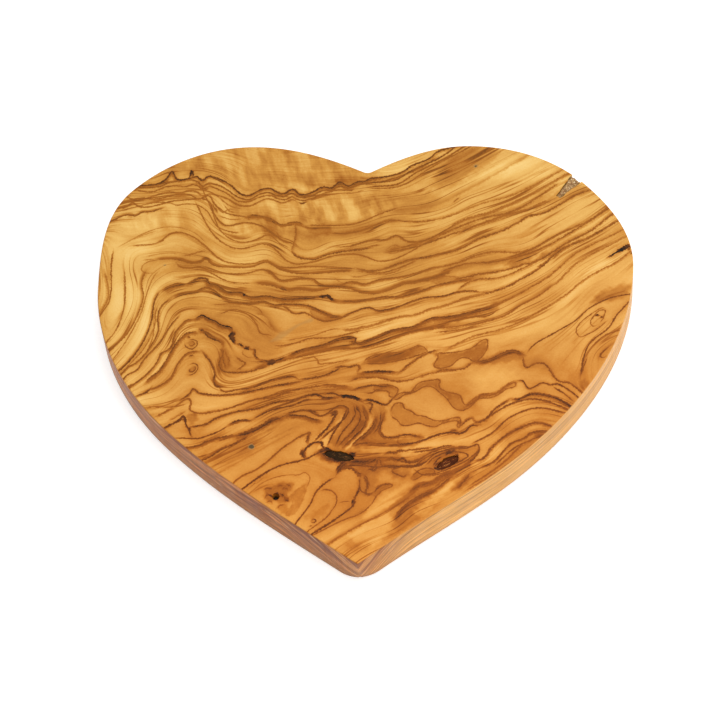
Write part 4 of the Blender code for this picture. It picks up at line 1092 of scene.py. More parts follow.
def near_line(line, heading, end_distance):
    """For each raster cell near a line: its distance, positive on the left, its overrun and end distance."""
    centre = np.round((line - RASTER_LOW) / RASTER_STEP).astype(int)
    column = centre[:, None, :] + window[None]
    valid = ((column >= 0) & (column < RASTER_COUNT)).all(-1)
    cell = np.where(valid, column[..., 1] * RASTER_COUNT[0] + column[..., 0], 0)
    away = raster_places[cell] - line[:, None]
    square = np.where(valid, (away ** 2).sum(-1), 1e9)
    best = np.full(cells, 1e8)
    np.minimum.at(best, cell.ravel(), square.ravel())
    sample, offset = np.nonzero(square <= best[cell])
    chosen = cell[sample, offset]
    gap = away[sample, offset]
    side = heading[sample][:, 0] * gap[:, 1] - heading[sample][:, 1] * gap[:, 0]
    overrun = np.abs((heading[sample] * gap).sum(-1))
    distance = np.where(overrun < RASTER_STEP, np.abs(side), np.sqrt(square[sample, offset]))
    return chosen, np.where(side < 0, -1, 1) * distance, overrun, end_distance[sample]


# %% Each streak into the layer where it meets the fewest others
RIPE_CENTRE = np.array([-22.0, -26.0])
RIPE_REACH = np.array([50.0, 28.0])
RIPE_GAIN = 0.28
RIPEST = 0.74
ripe = 1 + RIPE_GAIN * np.exp(-(((raster_places - RIPE_CENTRE) / RIPE_REACH) ** 2).sum(1))
RIM_NEAR = 5.0
RIM_RUN = 7.0
LONG_STREAK = 14.0
THIN_END = 0.35
TAPER = 3.0
FADE_MARGIN = 0.6
PART_FROM, PART_TO = 0.3, 1.5
STOP_FROM, STOP_TO = 0.4, 1.2
AT_END = 0.5
EDGE_SHARE = 0.8
rim_line = ring_at(0.0, THICKNESS) * 1000


def run_over_rim(places):
    """The saw cut through the streaks at the rim, so a long one that ends close to it runs on beyond it."""
    if np.hypot(*np.diff(places, axis=0).T).sum() < LONG_STREAK:
        return places
    for _ in range(2):
        beyond = places[0] - places[1]
        beyond = places[0] + RIM_RUN * beyond / np.hypot(*beyond)
        close = np.hypot(*(rim_line - places[0]).T).min() < RIM_NEAR
        if close and not inside(beyond[None], rim_line)[0]:
            places = np.concatenate([beyond[None], places])
        places = places[::-1]
    return places


for width, ink, fade, places in streaks:
    line, heading, end_distance = flowing(run_over_rim(places))
    cell, signed, overrun, from_end = near_line(line, heading, end_distance)
    taper = THIN_END + (1 - THIN_END) * smooth(0, min(TAPER, end_distance.max() / 2), from_end)
    fade_side = np.sign(fade) * signed < 0
    near_reach = REACH + width / 2
    reach = np.where(fade_side, max(near_reach, abs(fade) + FADE_MARGIN), near_reach)
    core = np.abs(signed) < reach
    crowding = [layer_taken[layer, cell[core]].sum() for layer in range(LAYERS)]
    layer = int(np.argmin(crowding))
    taken = layer_taken[layer, cell]
    beside = ~taken & (np.abs(signed) < np.abs(layer_distance[layer, cell]))
    lead = np.where(taken, np.abs(layer_distance[layer, cell]), FAR) - np.abs(signed)
    closer = core & (lead > 0)
    layer_distance[layer, cell[beside]] = signed[beside]
    ends = 1 - smooth(STOP_FROM, STOP_TO, np.where(from_end < AT_END, overrun, 0))
    layer_ink[layer, cell[core]] *= smooth(PART_FROM, PART_TO, -lead[core])
    here = cell[closer]
    layer_distance[layer, here] = signed[closer]
    edge_fade = 1 - smooth(EDGE_SHARE * reach, reach, np.abs(signed))
    riper = np.minimum(ink * ripe[cell], max(ink, RIPEST))
    layer_ink[layer, here] = (riper * taper * ends * edge_fade * smooth(PART_FROM, PART_TO, lead))[closer]
    layer_half[layer, here] = (width / 2 * ripe[cell] * (0.5 + 0.5 * taper))[closer]
    layer_fade[layer, here] = fade if fade else NO_FADE
    layer_taken[layer, here] = True
    halo = HALO_SHARE * riper * taper * ends * np.clip(1 - np.abs(signed) / HALO, 0, 1)
    np.maximum.at(shade, cell, halo)
for axis in (0, 1, 0, 1):
    grid = shade.reshape(RASTER_COUNT[1], RASTER_COUNT[0])
    shade = ((np.roll(grid, 1, axis) + 2 * grid + np.roll(grid, -1, axis)) / 4).ravel()
print("streaks:", len(streaks), "cells in each layer:", layer_taken.sum(1))


# %% Stains, curls and greys
AREA_STEP = 0.8


def distance_to_edge(places, corners):
    nearest = np.full(len(places), 1e9)
    for a, b in zip(corners, np.roll(corners, -1, 0)):
        share = np.clip(((places - a) @ (b - a)) / ((b - a) @ (b - a)), 0, 1)
        nearest = np.minimum(nearest, np.hypot(*(places - a - share[:, None] * (b - a)).T))
    return np.where(inside(places, corners), -nearest, nearest)


def painted(areas):
    """The strongest cover of each raster cell by soft-edged areas."""
    values = np.zeros(cells)
    for strength, soft, corners in areas:
        line = flowing(np.concatenate([corners, corners[:1]]), AREA_STEP)[0][:-1]
        box_low, box_high = line.min(0) - soft, line.max(0) + soft
        close = ((raster_places > box_low) & (raster_places < box_high)).all(1)
        cover = 1 - smooth(-soft, soft, distance_to_edge(raster_places[close], line))
        values[close] = np.maximum(values[close], abs(strength) * cover)
    return values


brown_map = painted([area for area in stains if area[0] > 0])
pale_map = painted([area for area in stains if area[0] < 0])
curl_map = painted(curls)
grey_map = painted(greys)
stain_map = brown_map - pale_map
print("stains:", len(stains), "curls:", len(curls))

# %% [markdown]
# ## The flow of the fibres
#
# Between the streaks run thousands of fine fibres, all in the direction of the nearest streaks. A smooth
# height map whose contour lines are the grain gives that direction everywhere. It is found by least squares:
# along each streak the height should stay the same, and across it the height should rise by 1 mm in 1 mm.

# %% The grain's height map, solved on a coarse net
COARSE = 5.0
FLAT_WEIGHT = 1.0
RISE_WEIGHT = 0.25
SMOOTH_WEIGHT = 0.35
TINY_WEIGHT = 1e-6
FLOW_STEP = 1.5
coarse_count = np.ceil((RASTER_COUNT * RASTER_STEP) / COARSE).astype(int) + 1
unknowns = int(np.prod(coarse_count))
normal = np.zeros((unknowns, unknowns))
wanted = np.zeros(unknowns)


def add_rows(columns, factors, target):
    """Adds least-squares rows: the sum of factors times the unknowns in columns should be the target."""
    for i in range(columns.shape[1]):
        np.add.at(wanted, columns[:, i], factors[:, i] * target)
        for j in range(columns.shape[1]):
            np.add.at(normal, (columns[:, i], columns[:, j]), factors[:, i] * factors[:, j])


def gradient_columns(places):
    """The four net corners round each place, and the factors that give the slope in x and in y there."""
    scaled = (places - RASTER_LOW) / COARSE
    cell = np.clip(np.floor(scaled).astype(int), 0, coarse_count - 2)
    fx, fy = (scaled - cell).T
    first = cell[:, 1] * coarse_count[0] + cell[:, 0]
    columns = np.stack([first, first + 1, first + coarse_count[0], first + coarse_count[0] + 1], 1)
    slope_x = np.stack([fy - 1, 1 - fy, -fy, fy], 1) / COARSE
    slope_y = np.stack([fx - 1, -fx, 1 - fx, fx], 1) / COARSE
    return columns, slope_x, slope_y


for *_, places in streaks:
    line, heading, _ = flowing(places, FLOW_STEP)
    columns, slope_x, slope_y = gradient_columns(line)
    along = heading[:, :1] * slope_x + heading[:, 1:] * slope_y
    across = heading[:, :1] * slope_y - heading[:, 1:] * slope_x
    add_rows(columns, FLAT_WEIGHT * along, 0)
    add_rows(columns, RISE_WEIGHT * across, RISE_WEIGHT)
index = np.arange(unknowns).reshape(coarse_count[1], coarse_count[0])
for before, here, after in ((index[:, :-2], index[:, 1:-1], index[:, 2:]),
                            (index[:-2], index[1:-1], index[2:])):
    columns = np.stack([before.ravel(), here.ravel(), after.ravel()], 1)
    add_rows(columns, np.tile(SMOOTH_WEIGHT / COARSE * np.array([1.0, -2.0, 1.0]), (len(columns), 1)), 0)
normal[np.diag_indices(unknowns)] += TINY_WEIGHT
coarse_height = np.linalg.solve(normal, wanted)
print("grain height map:", coarse_count, "range in mm:", np.round(np.ptp(coarse_height), 1))

# %% Store the numbers on the plank's points
def from_raster(values, places):
    """Raster values at any places, by linear interpolation."""
    scaled = np.clip((places - RASTER_LOW) / RASTER_STEP, 0, RASTER_COUNT - 1.001)
    cell = scaled.astype(int)
    fx, fy = (scaled - cell).T
    grid = values.reshape(RASTER_COUNT[1], RASTER_COUNT[0])
    column, row = cell.T
    return ((grid[row, column] * (1 - fx) + grid[row, column + 1] * fx) * (1 - fy)
            + (grid[row + 1, column] * (1 - fx) + grid[row + 1, column + 1] * fx) * fy)


def grain_height(places):
    """The grain's height map at any places, by a smooth cubic spline over the coarse net."""
    scaled = np.clip((places - RASTER_LOW) / COARSE, 1, coarse_count - 2.001)
    cell = scaled.astype(int)
    share = scaled - cell
    weights = [(1 - share) ** 3 / 6, (3 * share ** 3 - 6 * share ** 2 + 4) / 6,
               (-3 * share ** 3 + 3 * share ** 2 + 3 * share + 1) / 6, share ** 3 / 6]
    grid = coarse_height.reshape(coarse_count[1], coarse_count[0])
    total = np.zeros(len(places))
    for down, weight_y in zip((-1, 0, 1, 2), weights):
        for right, weight_x in zip((-1, 0, 1, 2), weights):
            total += weight_x[:, 0] * weight_y[:, 1] * grid[cell[:, 1] + down, cell[:, 0] + right]
    return total


def store(mesh, name, values):
    """Stores one number at each point, or four numbers as a colour."""
    one = values.ndim == 1
    layer = mesh.attributes.new(name, "FLOAT" if one else "FLOAT_COLOR", "POINT")
    layer.data.foreach_set("value" if one else "color", values.astype(np.float32).ravel())


# %% Where each point lies: on the top, in a hollow that gets painted shade, on a wall or under the board
TOP_FROM, TOP_TO = 0.05, 0.5
UNDER_FROM, UNDER_TO = 18.0, 20.0
HOLLOW_INSET = 0.0008
HOLLOW_FROM, HOLLOW_TO = 0.1, 0.6
HOLLOW_DEEPEST = 15
HOLLOW_LOWEST = -85
plank_points = np.zeros(len(cut_mesh.vertices) * 3)
cut_mesh.vertices.foreach_get("co", plank_points)
plank_points = plank_points.reshape(-1, 3)
places = plank_points[:, :2] * 1000
depth = (THICKNESS - plank_points[:, 2]) * 1000
x, y = places.T
on_top = 1 - smooth(TOP_FROM, TOP_TO, depth)
under = smooth(UNDER_FROM, UNDER_TO, depth)
inner_ring = ring_at(HOLLOW_INSET, THICKNESS) * 1000
in_hollow = inside(places, inner_ring) & (depth < HOLLOW_DEEPEST) & (y > HOLLOW_LOWEST)
# The walls of the pockets, the crack and the knot pit get painted shade, full from 0.6 mm below the top.
hollow_shade = np.where(in_hollow, smooth(HOLLOW_FROM, HOLLOW_TO, depth), 0)

# %% One attribute for each set of numbers
STAIN_WAVE = 0.6
HALF_HOLLOW_SHADE_BY_BARK = 0.5
SLOPE_STEP = 0.5
STEEP_FROM, STEEP_TO = 0.15, 0.45
SHARP_ANGLE = math.radians(40)
layer_maps = (layer_distance, layer_ink, layer_half, layer_fade)
waves = np.stack([0.7 * np.sin(1.1 * x + 1.5 * y) + 0.4 * np.sin(2.6 * x - 2.1 * y),
                  0.7 * np.sin(1.4 * x - 1.2 * y) + 0.4 * np.sin(2.3 * x + 2.7 * y)], 1)
for layer in range(LAYERS):
    numbers = [from_raster(values[layer], places) for values in layer_maps]
    numbers[1] *= on_top
    store(cut_mesh, f"streak_{layer}", np.stack(numbers, 1))
store(cut_mesh, "shade", from_raster(shade, places) * on_top)
store(cut_mesh, "stain", from_raster(stain_map, places + STAIN_WAVE * waves) * on_top)
store(cut_mesh, "curl", from_raster(curl_map, places) * on_top)
store(cut_mesh, "grey", from_raster(grey_map, places) * on_top)
by_right_bark = (x > 20) & (y < -40)
# Round the right bark the painted shade in the hollow is half as strong.
store(cut_mesh, "hollow_shade", hollow_shade * np.where(by_right_bark, HALF_HOLLOW_SHADE_BY_BARK, 1.0))
store(cut_mesh, "wall", (1 - on_top) * (1 - under) * (1 - hollow_shade))
store(cut_mesh, "under", under)
store(cut_mesh, "grain", grain_height(places))
rises = [grain_height(places + step) - grain_height(places - step)
         for step in ((SLOPE_STEP, 0.0), (0.0, SLOPE_STEP))]
store(cut_mesh, "steep", smooth(STEEP_FROM, STEEP_TO, np.hypot(*rises)))
cut_mesh.polygons.foreach_set("use_smooth", np.ones(len(cut_mesh.polygons), bool))
cut_mesh.set_sharp_from_angle(angle=SHARP_ANGLE)
print("stored:", [a.name for a in cut_mesh.attributes])

# %% [markdown]
# ## The olive wood
#
# The finish is oil, rubbed in: a soft satin gloss, no film. The material reads the stored streaks, adds a
# wobble to their edges, and lays fibres, hairlines and pores along the grain's height map. All of it adds up
# to one number, how dark the wood is at a place, and a colour ramp turns that number into a colour.

# %% Small helpers for node trees
def add_node(tree, kind, inputs=None, **settings):
    made = tree.nodes.new(kind)
    for name, value in settings.items():
        setattr(made, name, value)
    for key, value in (inputs or {}).items():
        if isinstance(value, bpy.types.NodeSocket):
            tree.links.new(value, made.inputs[key])
        else:
            made.inputs[key].default_value = value
    return made


def tree_of(*values):
    """The node tree that the first socket among some values belongs to."""
    return next(value.id_data for value in values if isinstance(value, bpy.types.NodeSocket))


def calc(operation, first, second=0.0, third=0.0, clamp=False):
    tree = tree_of(first, second, third)
    inputs = {0: first, 1: second, 2: third}
    return add_node(tree, "ShaderNodeMath", inputs, operation=operation, use_clamp=clamp).outputs[0]


def plus(first, second, clamp=False):
    return calc("ADD", first, second, clamp=clamp)


def minus(first, second):
    return calc("SUBTRACT", first, second)


def times(first, second, clamp=False):
    return calc("MULTIPLY", first, second, clamp=clamp)


def scaled(value, factor, offset):
    return calc("MULTIPLY_ADD", value, factor, offset)


def swing(field, amount):
    """A field from 0 to 1 as a swing about zero."""
    return scaled(field, amount, -amount / 2)


def ridge(field):
    """1 where a field from 0 to 1 passes its middle, and less on either side: a thin winding line."""
    return minus(1.0, calc("ABSOLUTE", swing(field, 2.0)))


def ease(value, low, high, to_low=0.0, to_high=1.0):
    """A soft step from to_low to to_high while the value goes from low to high."""
    inputs = {"Value": value, "From Min": low, "From Max": high, "To Min": to_low, "To Max": to_high}
    made = add_node(tree_of(value), "ShaderNodeMapRange", inputs, interpolation_type="SMOOTHSTEP")
    return made.outputs["Result"]


def blend(share, first, second):
    inputs = {0: share, 6: first, 7: second}
    return add_node(tree_of(share), "ShaderNodeMix", inputs, data_type="RGBA").outputs[2]


def brightened(colour, factor):
    inputs = {0: colour, "Scale": factor}
    return add_node(tree_of(colour), "ShaderNodeVectorMath", inputs, operation="SCALE").outputs[0]


def stored(tree, name):
    return add_node(tree, "ShaderNodeAttribute", attribute_name=name).outputs["Fac"]


def vector_of(x, y, z):
    return add_node(tree_of(x), "ShaderNodeCombineXYZ", {0: x, 1: y, 2: z}).outputs[0]


def noise(vector, scale, detail=3.0, roughness=0.5):
    inputs = {"Vector": vector, "Scale": scale, "Detail": detail, "Roughness": roughness}
    return add_node(tree_of(vector), "ShaderNodeTexNoise", inputs).outputs["Fac"]


def ramp(value, stops):
    """Colours at positions from 0 to 1, blended between."""
    made = add_node(tree_of(value), "ShaderNodeValToRGB", {0: value})
    elements = made.color_ramp.elements
    for position, stop in stops[1:-1]:
        elements.new(position).color = stop
    elements[0].color = stops[0][1]
    elements[-1].color = stops[-1][1]
    return made.outputs[0]


def linear(red, green, blue):
    """A colour as read on a screen, 0 to 255, in the linear light that shaders work in."""
    shares = [value / 255 for value in (red, green, blue)]
    return tuple(s / 12.92 if s < 0.04045 else ((s + 0.055) / 1.055) ** 2.4 for s in shares) + (1.0,)


def new_material(name):
    material = bpy.data.materials.new(name)
    material.use_nodes = True
    return material, material.node_tree, material.node_tree.nodes["Principled BSDF"]


# %% Colours of the wood, from the palest to the darkest
HEART_COLOURS = (
    (0.00, linear(238, 180, 98)),
    (0.18, linear(224, 153, 66)),
    (0.36, linear(198, 119, 36)),
    (0.56, linear(158, 82, 12)),
    (0.78, linear(102, 49, 7)),
    (1.00, linear(28, 15, 5)),
)
SAP_COLOURS = (
    (0.00, linear(244, 210, 136)),
    (0.18, linear(230, 182, 99)),
    (0.36, linear(205, 144, 61)),
    (0.56, linear(164, 96, 23)),
    (0.78, linear(106, 59, 12)),
    (1.00, linear(32, 20, 6)),
)
SCAR_GREY = linear(164, 126, 74)
DEAD_GREY = linear(78, 66, 44)
# Painted shade for the walls of the pockets, the crack and the knot pit
HOLLOW_PAINTED_SHADE = linear(36, 22, 12)

# %% How dark the top is: bands, stains and shades
BAND_TONE = 0.56
PALEST = -0.02
CLOUD_TONE = 0.16
MOTTLE_TONE = 0.24
STAIN_TONE = 0.28
SHADE_TONE = 0.42
FIBRE_TONE = 0.10
SPECKLE_TONE = 0.16
CURL_PALE, CURL_DARK = -0.20, 0.24
CALMEST = 0.3

wood, tree, shader = new_material("oiled_olive_wood")
object_place = add_node(tree, "ShaderNodeTexCoord").outputs["Object"]
in_mm = add_node(tree, "ShaderNodeVectorMath", {0: object_place, 1: (1000, 1000, 1000)},
                 operation="MULTIPLY")
place = in_mm.outputs[0]
x_mm, y_mm, z_mm = add_node(tree, "ShaderNodeSeparateXYZ", {0: place}).outputs
grain = stored(tree, "grain")
under = stored(tree, "under")
wall = stored(tree, "wall")


def along_grain(across, along):
    """Coordinates that change quickly across the grain and slowly along it."""
    return vector_of(times(grain, across), times(x_mm, along), times(y_mm, along))


fibres = noise(along_grain(1.0, 0.035), 2.2, 4, 0.6)
bands = noise(along_grain(0.30, 0.014), 1.0, 4, 0.6)
curl_share = stored(tree, "curl")
calm = ease(curl_share, 0.05, 0.35, 1.0, CALMEST)
bands = scaled(minus(bands, 0.5), calm, 0.5)
cloud = noise(place, 0.022, 2, 0.5)
dark = scaled(bands, BAND_TONE, PALEST)
dark = plus(dark, swing(cloud, CLOUD_TONE))
mottle = noise(along_grain(0.10, 0.05), 1.0, 3, 0.6)
dark = plus(dark, swing(mottle, MOTTLE_TONE))
patchy = scaled(fibres, 0.5, 0.75)
dark = plus(dark, times(times(stored(tree, "stain"), STAIN_TONE), patchy))
dark = plus(dark, times(times(stored(tree, "shade"), SHADE_TONE), patchy))
dark = plus(dark, swing(fibres, FIBRE_TONE))
speckle = noise(place, 1.3, 3, 0.7)
dark = plus(dark, swing(speckle, SPECKLE_TONE))
lean = scaled(y_mm, 0.30, x_mm)
bars = noise(vector_of(times(lean, 0.19), times(y_mm, 0.06), 0.0), 1.0, 3, 0.5)
bars = ease(bars, 0.30, 0.70, CURL_PALE, CURL_DARK)
dark = plus(dark, times(bars, curl_share))

# %% Hairlines between the streaks
FAINTEST_HAIR, CLEAREST_HAIR = 0.06, 0.30
hairline_field = noise(along_grain(0.62, 0.010), 1.0, 2, 0.5)
hairline = ease(ridge(hairline_field), scaled(under, -0.05, 0.93), 0.995)
hairline = times(hairline, ease(noise(place, 0.05, 1), 0.38, 0.62, FAINTEST_HAIR, CLEAREST_HAIR))
hairline = times(hairline, scaled(under, 1.0, 1.0))
hairline = times(hairline, stored(tree, "steep"))
hairline = times(hairline, calm)
dark = plus(dark, hairline, clamp=True)

# %% Streaks, with a wobble on their edges and a fade on one side
WOBBLE_MM = 1.0
JAG_MM = 1.7
FADE_TONE = 0.34
LINE_PALEST = 0.40
wobble = swing(noise(place, 0.55, 4, 0.68), WOBBLE_MM)
jag = swing(noise(place, 1.3, 3, 0.6), JAG_MM)
wobble = plus(wobble, jag)
swelling = scaled(noise(place, 0.32, 2, 0.5), 1.4, 0.3)
ink = None
fade = None
for layer in range(LAYERS):
    numbers = add_node(tree, "ShaderNodeAttribute", attribute_name=f"streak_{layer}").outputs
    distance, strength, half_width = add_node(tree, "ShaderNodeSeparateXYZ", {0: numbers["Color"]}).outputs
    half_width = times(half_width, swelling)
    moved = scaled(wobble, ease(half_width, 0.2, 0.6, 0.45, 1.0), distance)
    softness = times(minus(1.2, strength), half_width)
    edge = scaled(softness, 0.80, 0.20)
    core = ease(calc("ABSOLUTE", moved), minus(half_width, edge), plus(half_width, edge), 1.0, 0.0)
    behind = calc("DIVIDE", times(moved, -1.0), numbers["Alpha"])
    tail = times(calc("GREATER_THAN", behind, 0.0), minus(1.0, behind), clamp=True)
    dark_side = 1.0 if layer % 2 else -1.0
    across = calc("DIVIDE", times(moved, dark_side), half_width)
    body = times(ease(half_width, 0.25, 0.7, 0.0, 0.5), ease(across, -0.2, 0.7, 1.0, 0.0))
    body = times(body, ease(strength, 0.65, 1.0, 1.0, 0.3))
    core = times(core, times(strength, minus(1.0, body)))
    tail = times(tail, ease(strength, 0.0, 0.6))
    ink = core if ink is None else calc("MAXIMUM", ink, core)
    fade = tail if fade is None else calc("MAXIMUM", fade, tail)
dark = plus(dark, times(times(fade, FADE_TONE), patchy), clamp=True)
ink = times(ink, scaled(noise(place, 0.25, 2), 0.7, 0.70), clamp=True)
line_dark = scaled(ink, scaled(ink, 0.26, 0.34), LINE_PALEST)
line_share = ease(ink, 0.0, 0.55)
dark = plus(times(dark, minus(1.0, line_share)), times(line_share, line_dark), clamp=True)

# %% From dark to colour, with pores
sap_place = scaled(x_mm, -0.30, y_mm)
sap = ease(plus(sap_place, swing(cloud, 60.0)), -75.0, 75.0)
colour = blend(sap, ramp(dark, HEART_COLOURS), ramp(dark, SAP_COLOURS))
pore_field = noise(along_grain(1.0, 0.10), 6.0, 2, 0.5)
fine = ease(pore_field, 0.66, 0.74, 1.0, 0.94)
colour = brightened(colour, fine)

# %% [markdown]
# ## The walls
#
# On the walls the saw cut across the same growth rings, so their lines run along the edge and bend up
# towards the tip. The left wall has red patches and dark lines, and its base colour is darker, partly from
# its redder wood and partly as painted shade; the right one is paler and calmer. Towards the floor both
# walls get a painted shade, the left one more. No streaks are stored there: noise drawn out along the edge
# gives lines, hairs and flecks that stay in step.

# %% Coordinates along the walls
TIP_NEAR_MM = 82.0
along_wall = scaled(y_mm, -0.55, calc("ABSOLUTE", x_mm))
side = ease(plus(x_mm, times(y_mm, 0.25)), -45.0, 25.0)
near_tip = calc("MAXIMUM", minus(TIP_NEAR_MM, along_wall), 0.0)
near_tip = times(near_tip, ease(y_mm, -30.0, -10.0, 1.0, 0.0))


def by_side(left, right):
    """A value for the left wall that eases over to one for the right wall."""
    return ease(side, 0.0, 1.0, left, right)


bend = times(times(near_tip, near_tip), by_side(0.03, 0.0))
wall_rise = plus(plus(z_mm, bend), times(along_wall, 0.09))

# %% Lines, red patches and flecks of the walls, and painted shade at their foot
SHADED_WALL_ROSE = linear(206, 134, 74)
WALL_PEACH = linear(247, 187, 108)
WALL_LINE = linear(116, 56, 30)
WALL_RED = linear(134, 68, 44)
WALL_FLECK = linear(236, 186, 136)
WALL_FOOT_SHADE = linear(104, 78, 46)
wall_place = vector_of(times(along_wall, 0.026), times(wall_rise, 0.34), times(x_mm, 0.004))
wall_bands = noise(wall_place, 1.0, 4, 0.62)
wall_fibres = noise(wall_place, 3.2, 3, 0.6)
# The left wall's base is darker than the right's partly from its redder wood and partly as painted shade.
wall_base_shaded_left = blend(side, SHADED_WALL_ROSE, WALL_PEACH)
upper = ease(z_mm, 5.0, 17.0, 0.35, 1.0)
red_place = vector_of(times(along_wall, 0.07), times(wall_rise, 0.14), 4.0)
wall_red = ease(noise(red_place, 1.0, 3, 0.6), 0.46, 0.60, 0.0, 0.75)
wall_red = times(wall_red, times(ease(z_mm, 4.0, 16.0), by_side(1.0, 0.12)))
wall_colour = blend(wall_red, wall_base_shaded_left, WALL_RED)
wall_line = times(ease(wall_bands, 0.50, 0.60), by_side(0.95, 0.5))
wall_line = times(wall_line, upper)
wall_colour = blend(wall_line, wall_colour, WALL_LINE)
wall_hair = times(ease(ridge(wall_fibres), 0.86, 0.98), by_side(0.60, 0.25))
wall_colour = blend(wall_hair, wall_colour, WALL_LINE)
wall_shade = ease(wall_fibres, 0.30, 0.70, by_side(0.70, 0.88), by_side(1.30, 1.10))
wall_colour = brightened(wall_colour, wall_shade)
fleck_place = vector_of(times(along_wall, 0.16), times(wall_rise, 0.5), 9.0)
wall_fleck = ease(noise(fleck_place, 1.0, 3, 0.6), 0.60, 0.70, 0.0, 0.7)
wall_colour = blend(wall_fleck, wall_colour, WALL_FLECK)
# Painted shade along the foot of the walls, within 5 mm of the floor, stronger on the left wall.
painted_foot_shade = times(ease(z_mm, 0.5, 5.0, 0.55, 0.0), by_side(1.0, 0.3))
wall_colour = blend(painted_foot_shade, wall_colour, WALL_FOOT_SHADE)
colour = blend(wall, colour, wall_colour)

# %% Grey places, and painted shade in the hollows
greyness = stored(tree, "grey")
colour = blend(ease(greyness, 0.03, 0.30, 0.0, 0.55), colour, SCAR_GREY)
colour = blend(ease(greyness, 0.35, 0.62, 0.0, 0.9), colour, DEAD_GREY)
# Painted shade: the walls of the hollows are darkened nearly to black.
colour = blend(stored(tree, "hollow_shade"), colour, HOLLOW_PAINTED_SHADE)

# %% Gloss and relief
ROUGHNESS_LOW, ROUGHNESS_HIGH = 0.36, 0.52
OILED_SPECULAR = 0.13
PORE_STRENGTH = 0.12
PORE_DEPTH = 0.0002
tree.links.new(colour, shader.inputs["Base Color"])
tree.links.new(ease(fibres, 0.2, 0.8, ROUGHNESS_LOW, ROUGHNESS_HIGH), shader.inputs["Roughness"])
bump = add_node(tree, "ShaderNodeBump", {"Strength": PORE_STRENGTH, "Distance": PORE_DEPTH, "Height": fine})
tree.links.new(bump.outputs[0], shader.inputs["Normal"])
shader.inputs["Specular IOR Level"].default_value = OILED_SPECULAR
cut_mesh.materials.clear()
cut_mesh.materials.append(wood)
print("wood nodes:", len(tree.nodes))

# %% [markdown]
# ## Rim fill and bark
#
# The pocket in the rim holds grit and wood dust, and the two bark inclusions are dry, flaky and dark.
# Sculpting each crumb would take a day. Geometry Nodes scatters crumbs over a surface instead: one small
# group with named inputs serves the grit, as round crumbs, and the bark, as long flakes along the grain.

# %% A node group that scatters crumbs
CRUMB_ROUNDS = 2
CRUMB_INPUTS = {"Surface": "Geometry", "Density": "Float", "Seed": "Int", "Smallest": "Vector",
                "Largest": "Vector", "Least Turn": "Vector", "Most Turn": "Vector", "Material": "Material"}


def new_crumb_group():
    group = bpy.data.node_groups.new("scattered_crumbs", "GeometryNodeTree")
    group.is_modifier = True
    for name, kind in CRUMB_INPUTS.items():
        group.interface.new_socket(name, in_out="INPUT", socket_type=f"NodeSocket{kind}")
    group.interface.new_socket("Crumbs", in_out="OUTPUT", socket_type="NodeSocketGeometry")
    given = group.nodes.new("NodeGroupInput").outputs

    def random_between(low, high):
        inputs = {0: given[low], 1: given[high], "Seed": given["Seed"]}
        return add_node(group, "FunctionNodeRandomValue", inputs, data_type="FLOAT_VECTOR").outputs[0]

    scatter = add_node(group, "GeometryNodeDistributePointsOnFaces",
                       {"Mesh": given["Surface"], "Density": given["Density"], "Seed": given["Seed"]})
    crumb = add_node(group, "GeometryNodeMeshIcoSphere", {"Radius": 1.0, "Subdivisions": CRUMB_ROUNDS})
    placed = add_node(group, "GeometryNodeInstanceOnPoints",
                      {"Points": scatter.outputs["Points"], "Instance": crumb.outputs["Mesh"],
                       "Rotation": random_between("Least Turn", "Most Turn"),
                       "Scale": random_between("Smallest", "Largest")})
    kind = add_node(group, "FunctionNodeRandomValue", {"Seed": given["Seed"]}, data_type="FLOAT")
    told = add_node(group, "GeometryNodeStoreNamedAttribute",
                    {"Geometry": placed.outputs[0], "Name": "crumb", "Value": kind.outputs[1]},
                    data_type="FLOAT", domain="INSTANCE")
    real = add_node(group, "GeometryNodeRealizeInstances", {0: told.outputs[0]})
    coated = add_node(group, "GeometryNodeSetMaterial",
                      {"Geometry": real.outputs[0], "Material": given["Material"]})
    group.links.new(coated.outputs[0], group.nodes.new("NodeGroupOutput").inputs[0])
    return group


crumb_group = new_crumb_group()


# %% Scatter, then join with the body
def crumbs_on(name, outline, height, settings):
    """Crumbs scattered over a flat outline, as a plain mesh."""
    bm = bmesh.new()
    face = bm.faces.new([bm.verts.new((*p, height)) for p in outline])
    if face.normal.z < 0:
        face.normal_flip()
    mesh = bpy.data.meshes.new(name)
    bm.to_mesh(mesh)
    bm.free()
    seedbed = bpy.data.objects.new(name, mesh)
    bpy.context.scene.collection.objects.link(seedbed)
    modifier = seedbed.modifiers.new("crumbs", "NODES")
    modifier.node_group = crumb_group
    for item in crumb_group.interface.items_tree:
        if item.in_out == "INPUT" and item.name in settings:
            modifier[item.identifier] = settings[item.name]
    bpy.context.view_layer.update()
    made = bpy.data.meshes.new_from_object(seedbed.evaluated_get(bpy.context.evaluated_depsgraph_get()))
    bpy.data.objects.remove(seedbed)
    return made


def inclusion(name, outline, seedbed, bottom, top, crumb_height, material, settings):
    """A body with crumbs on it, as one object."""
    body = prism(name, outline, bottom, top)
    crumbs = crumbs_on(name + "_crumbs", seedbed, crumb_height, {**settings, "Material": material})
    bm = bmesh.new()
    bm.from_mesh(body.data)
    bm.from_mesh(crumbs)
    bm.to_mesh(body.data)
    bm.free()
    body.data.materials.clear()
    body.data.materials.append(material)
    body.data.polygons.foreach_set("use_smooth", np.zeros(len(body.data.polygons), bool))
    print(name, "points of crumbs:", len(crumbs.vertices), "triangles:", triangles_of(body.data))
    return body


# %% Materials of grit and bark
CRUMB_SPECULAR = 0.05


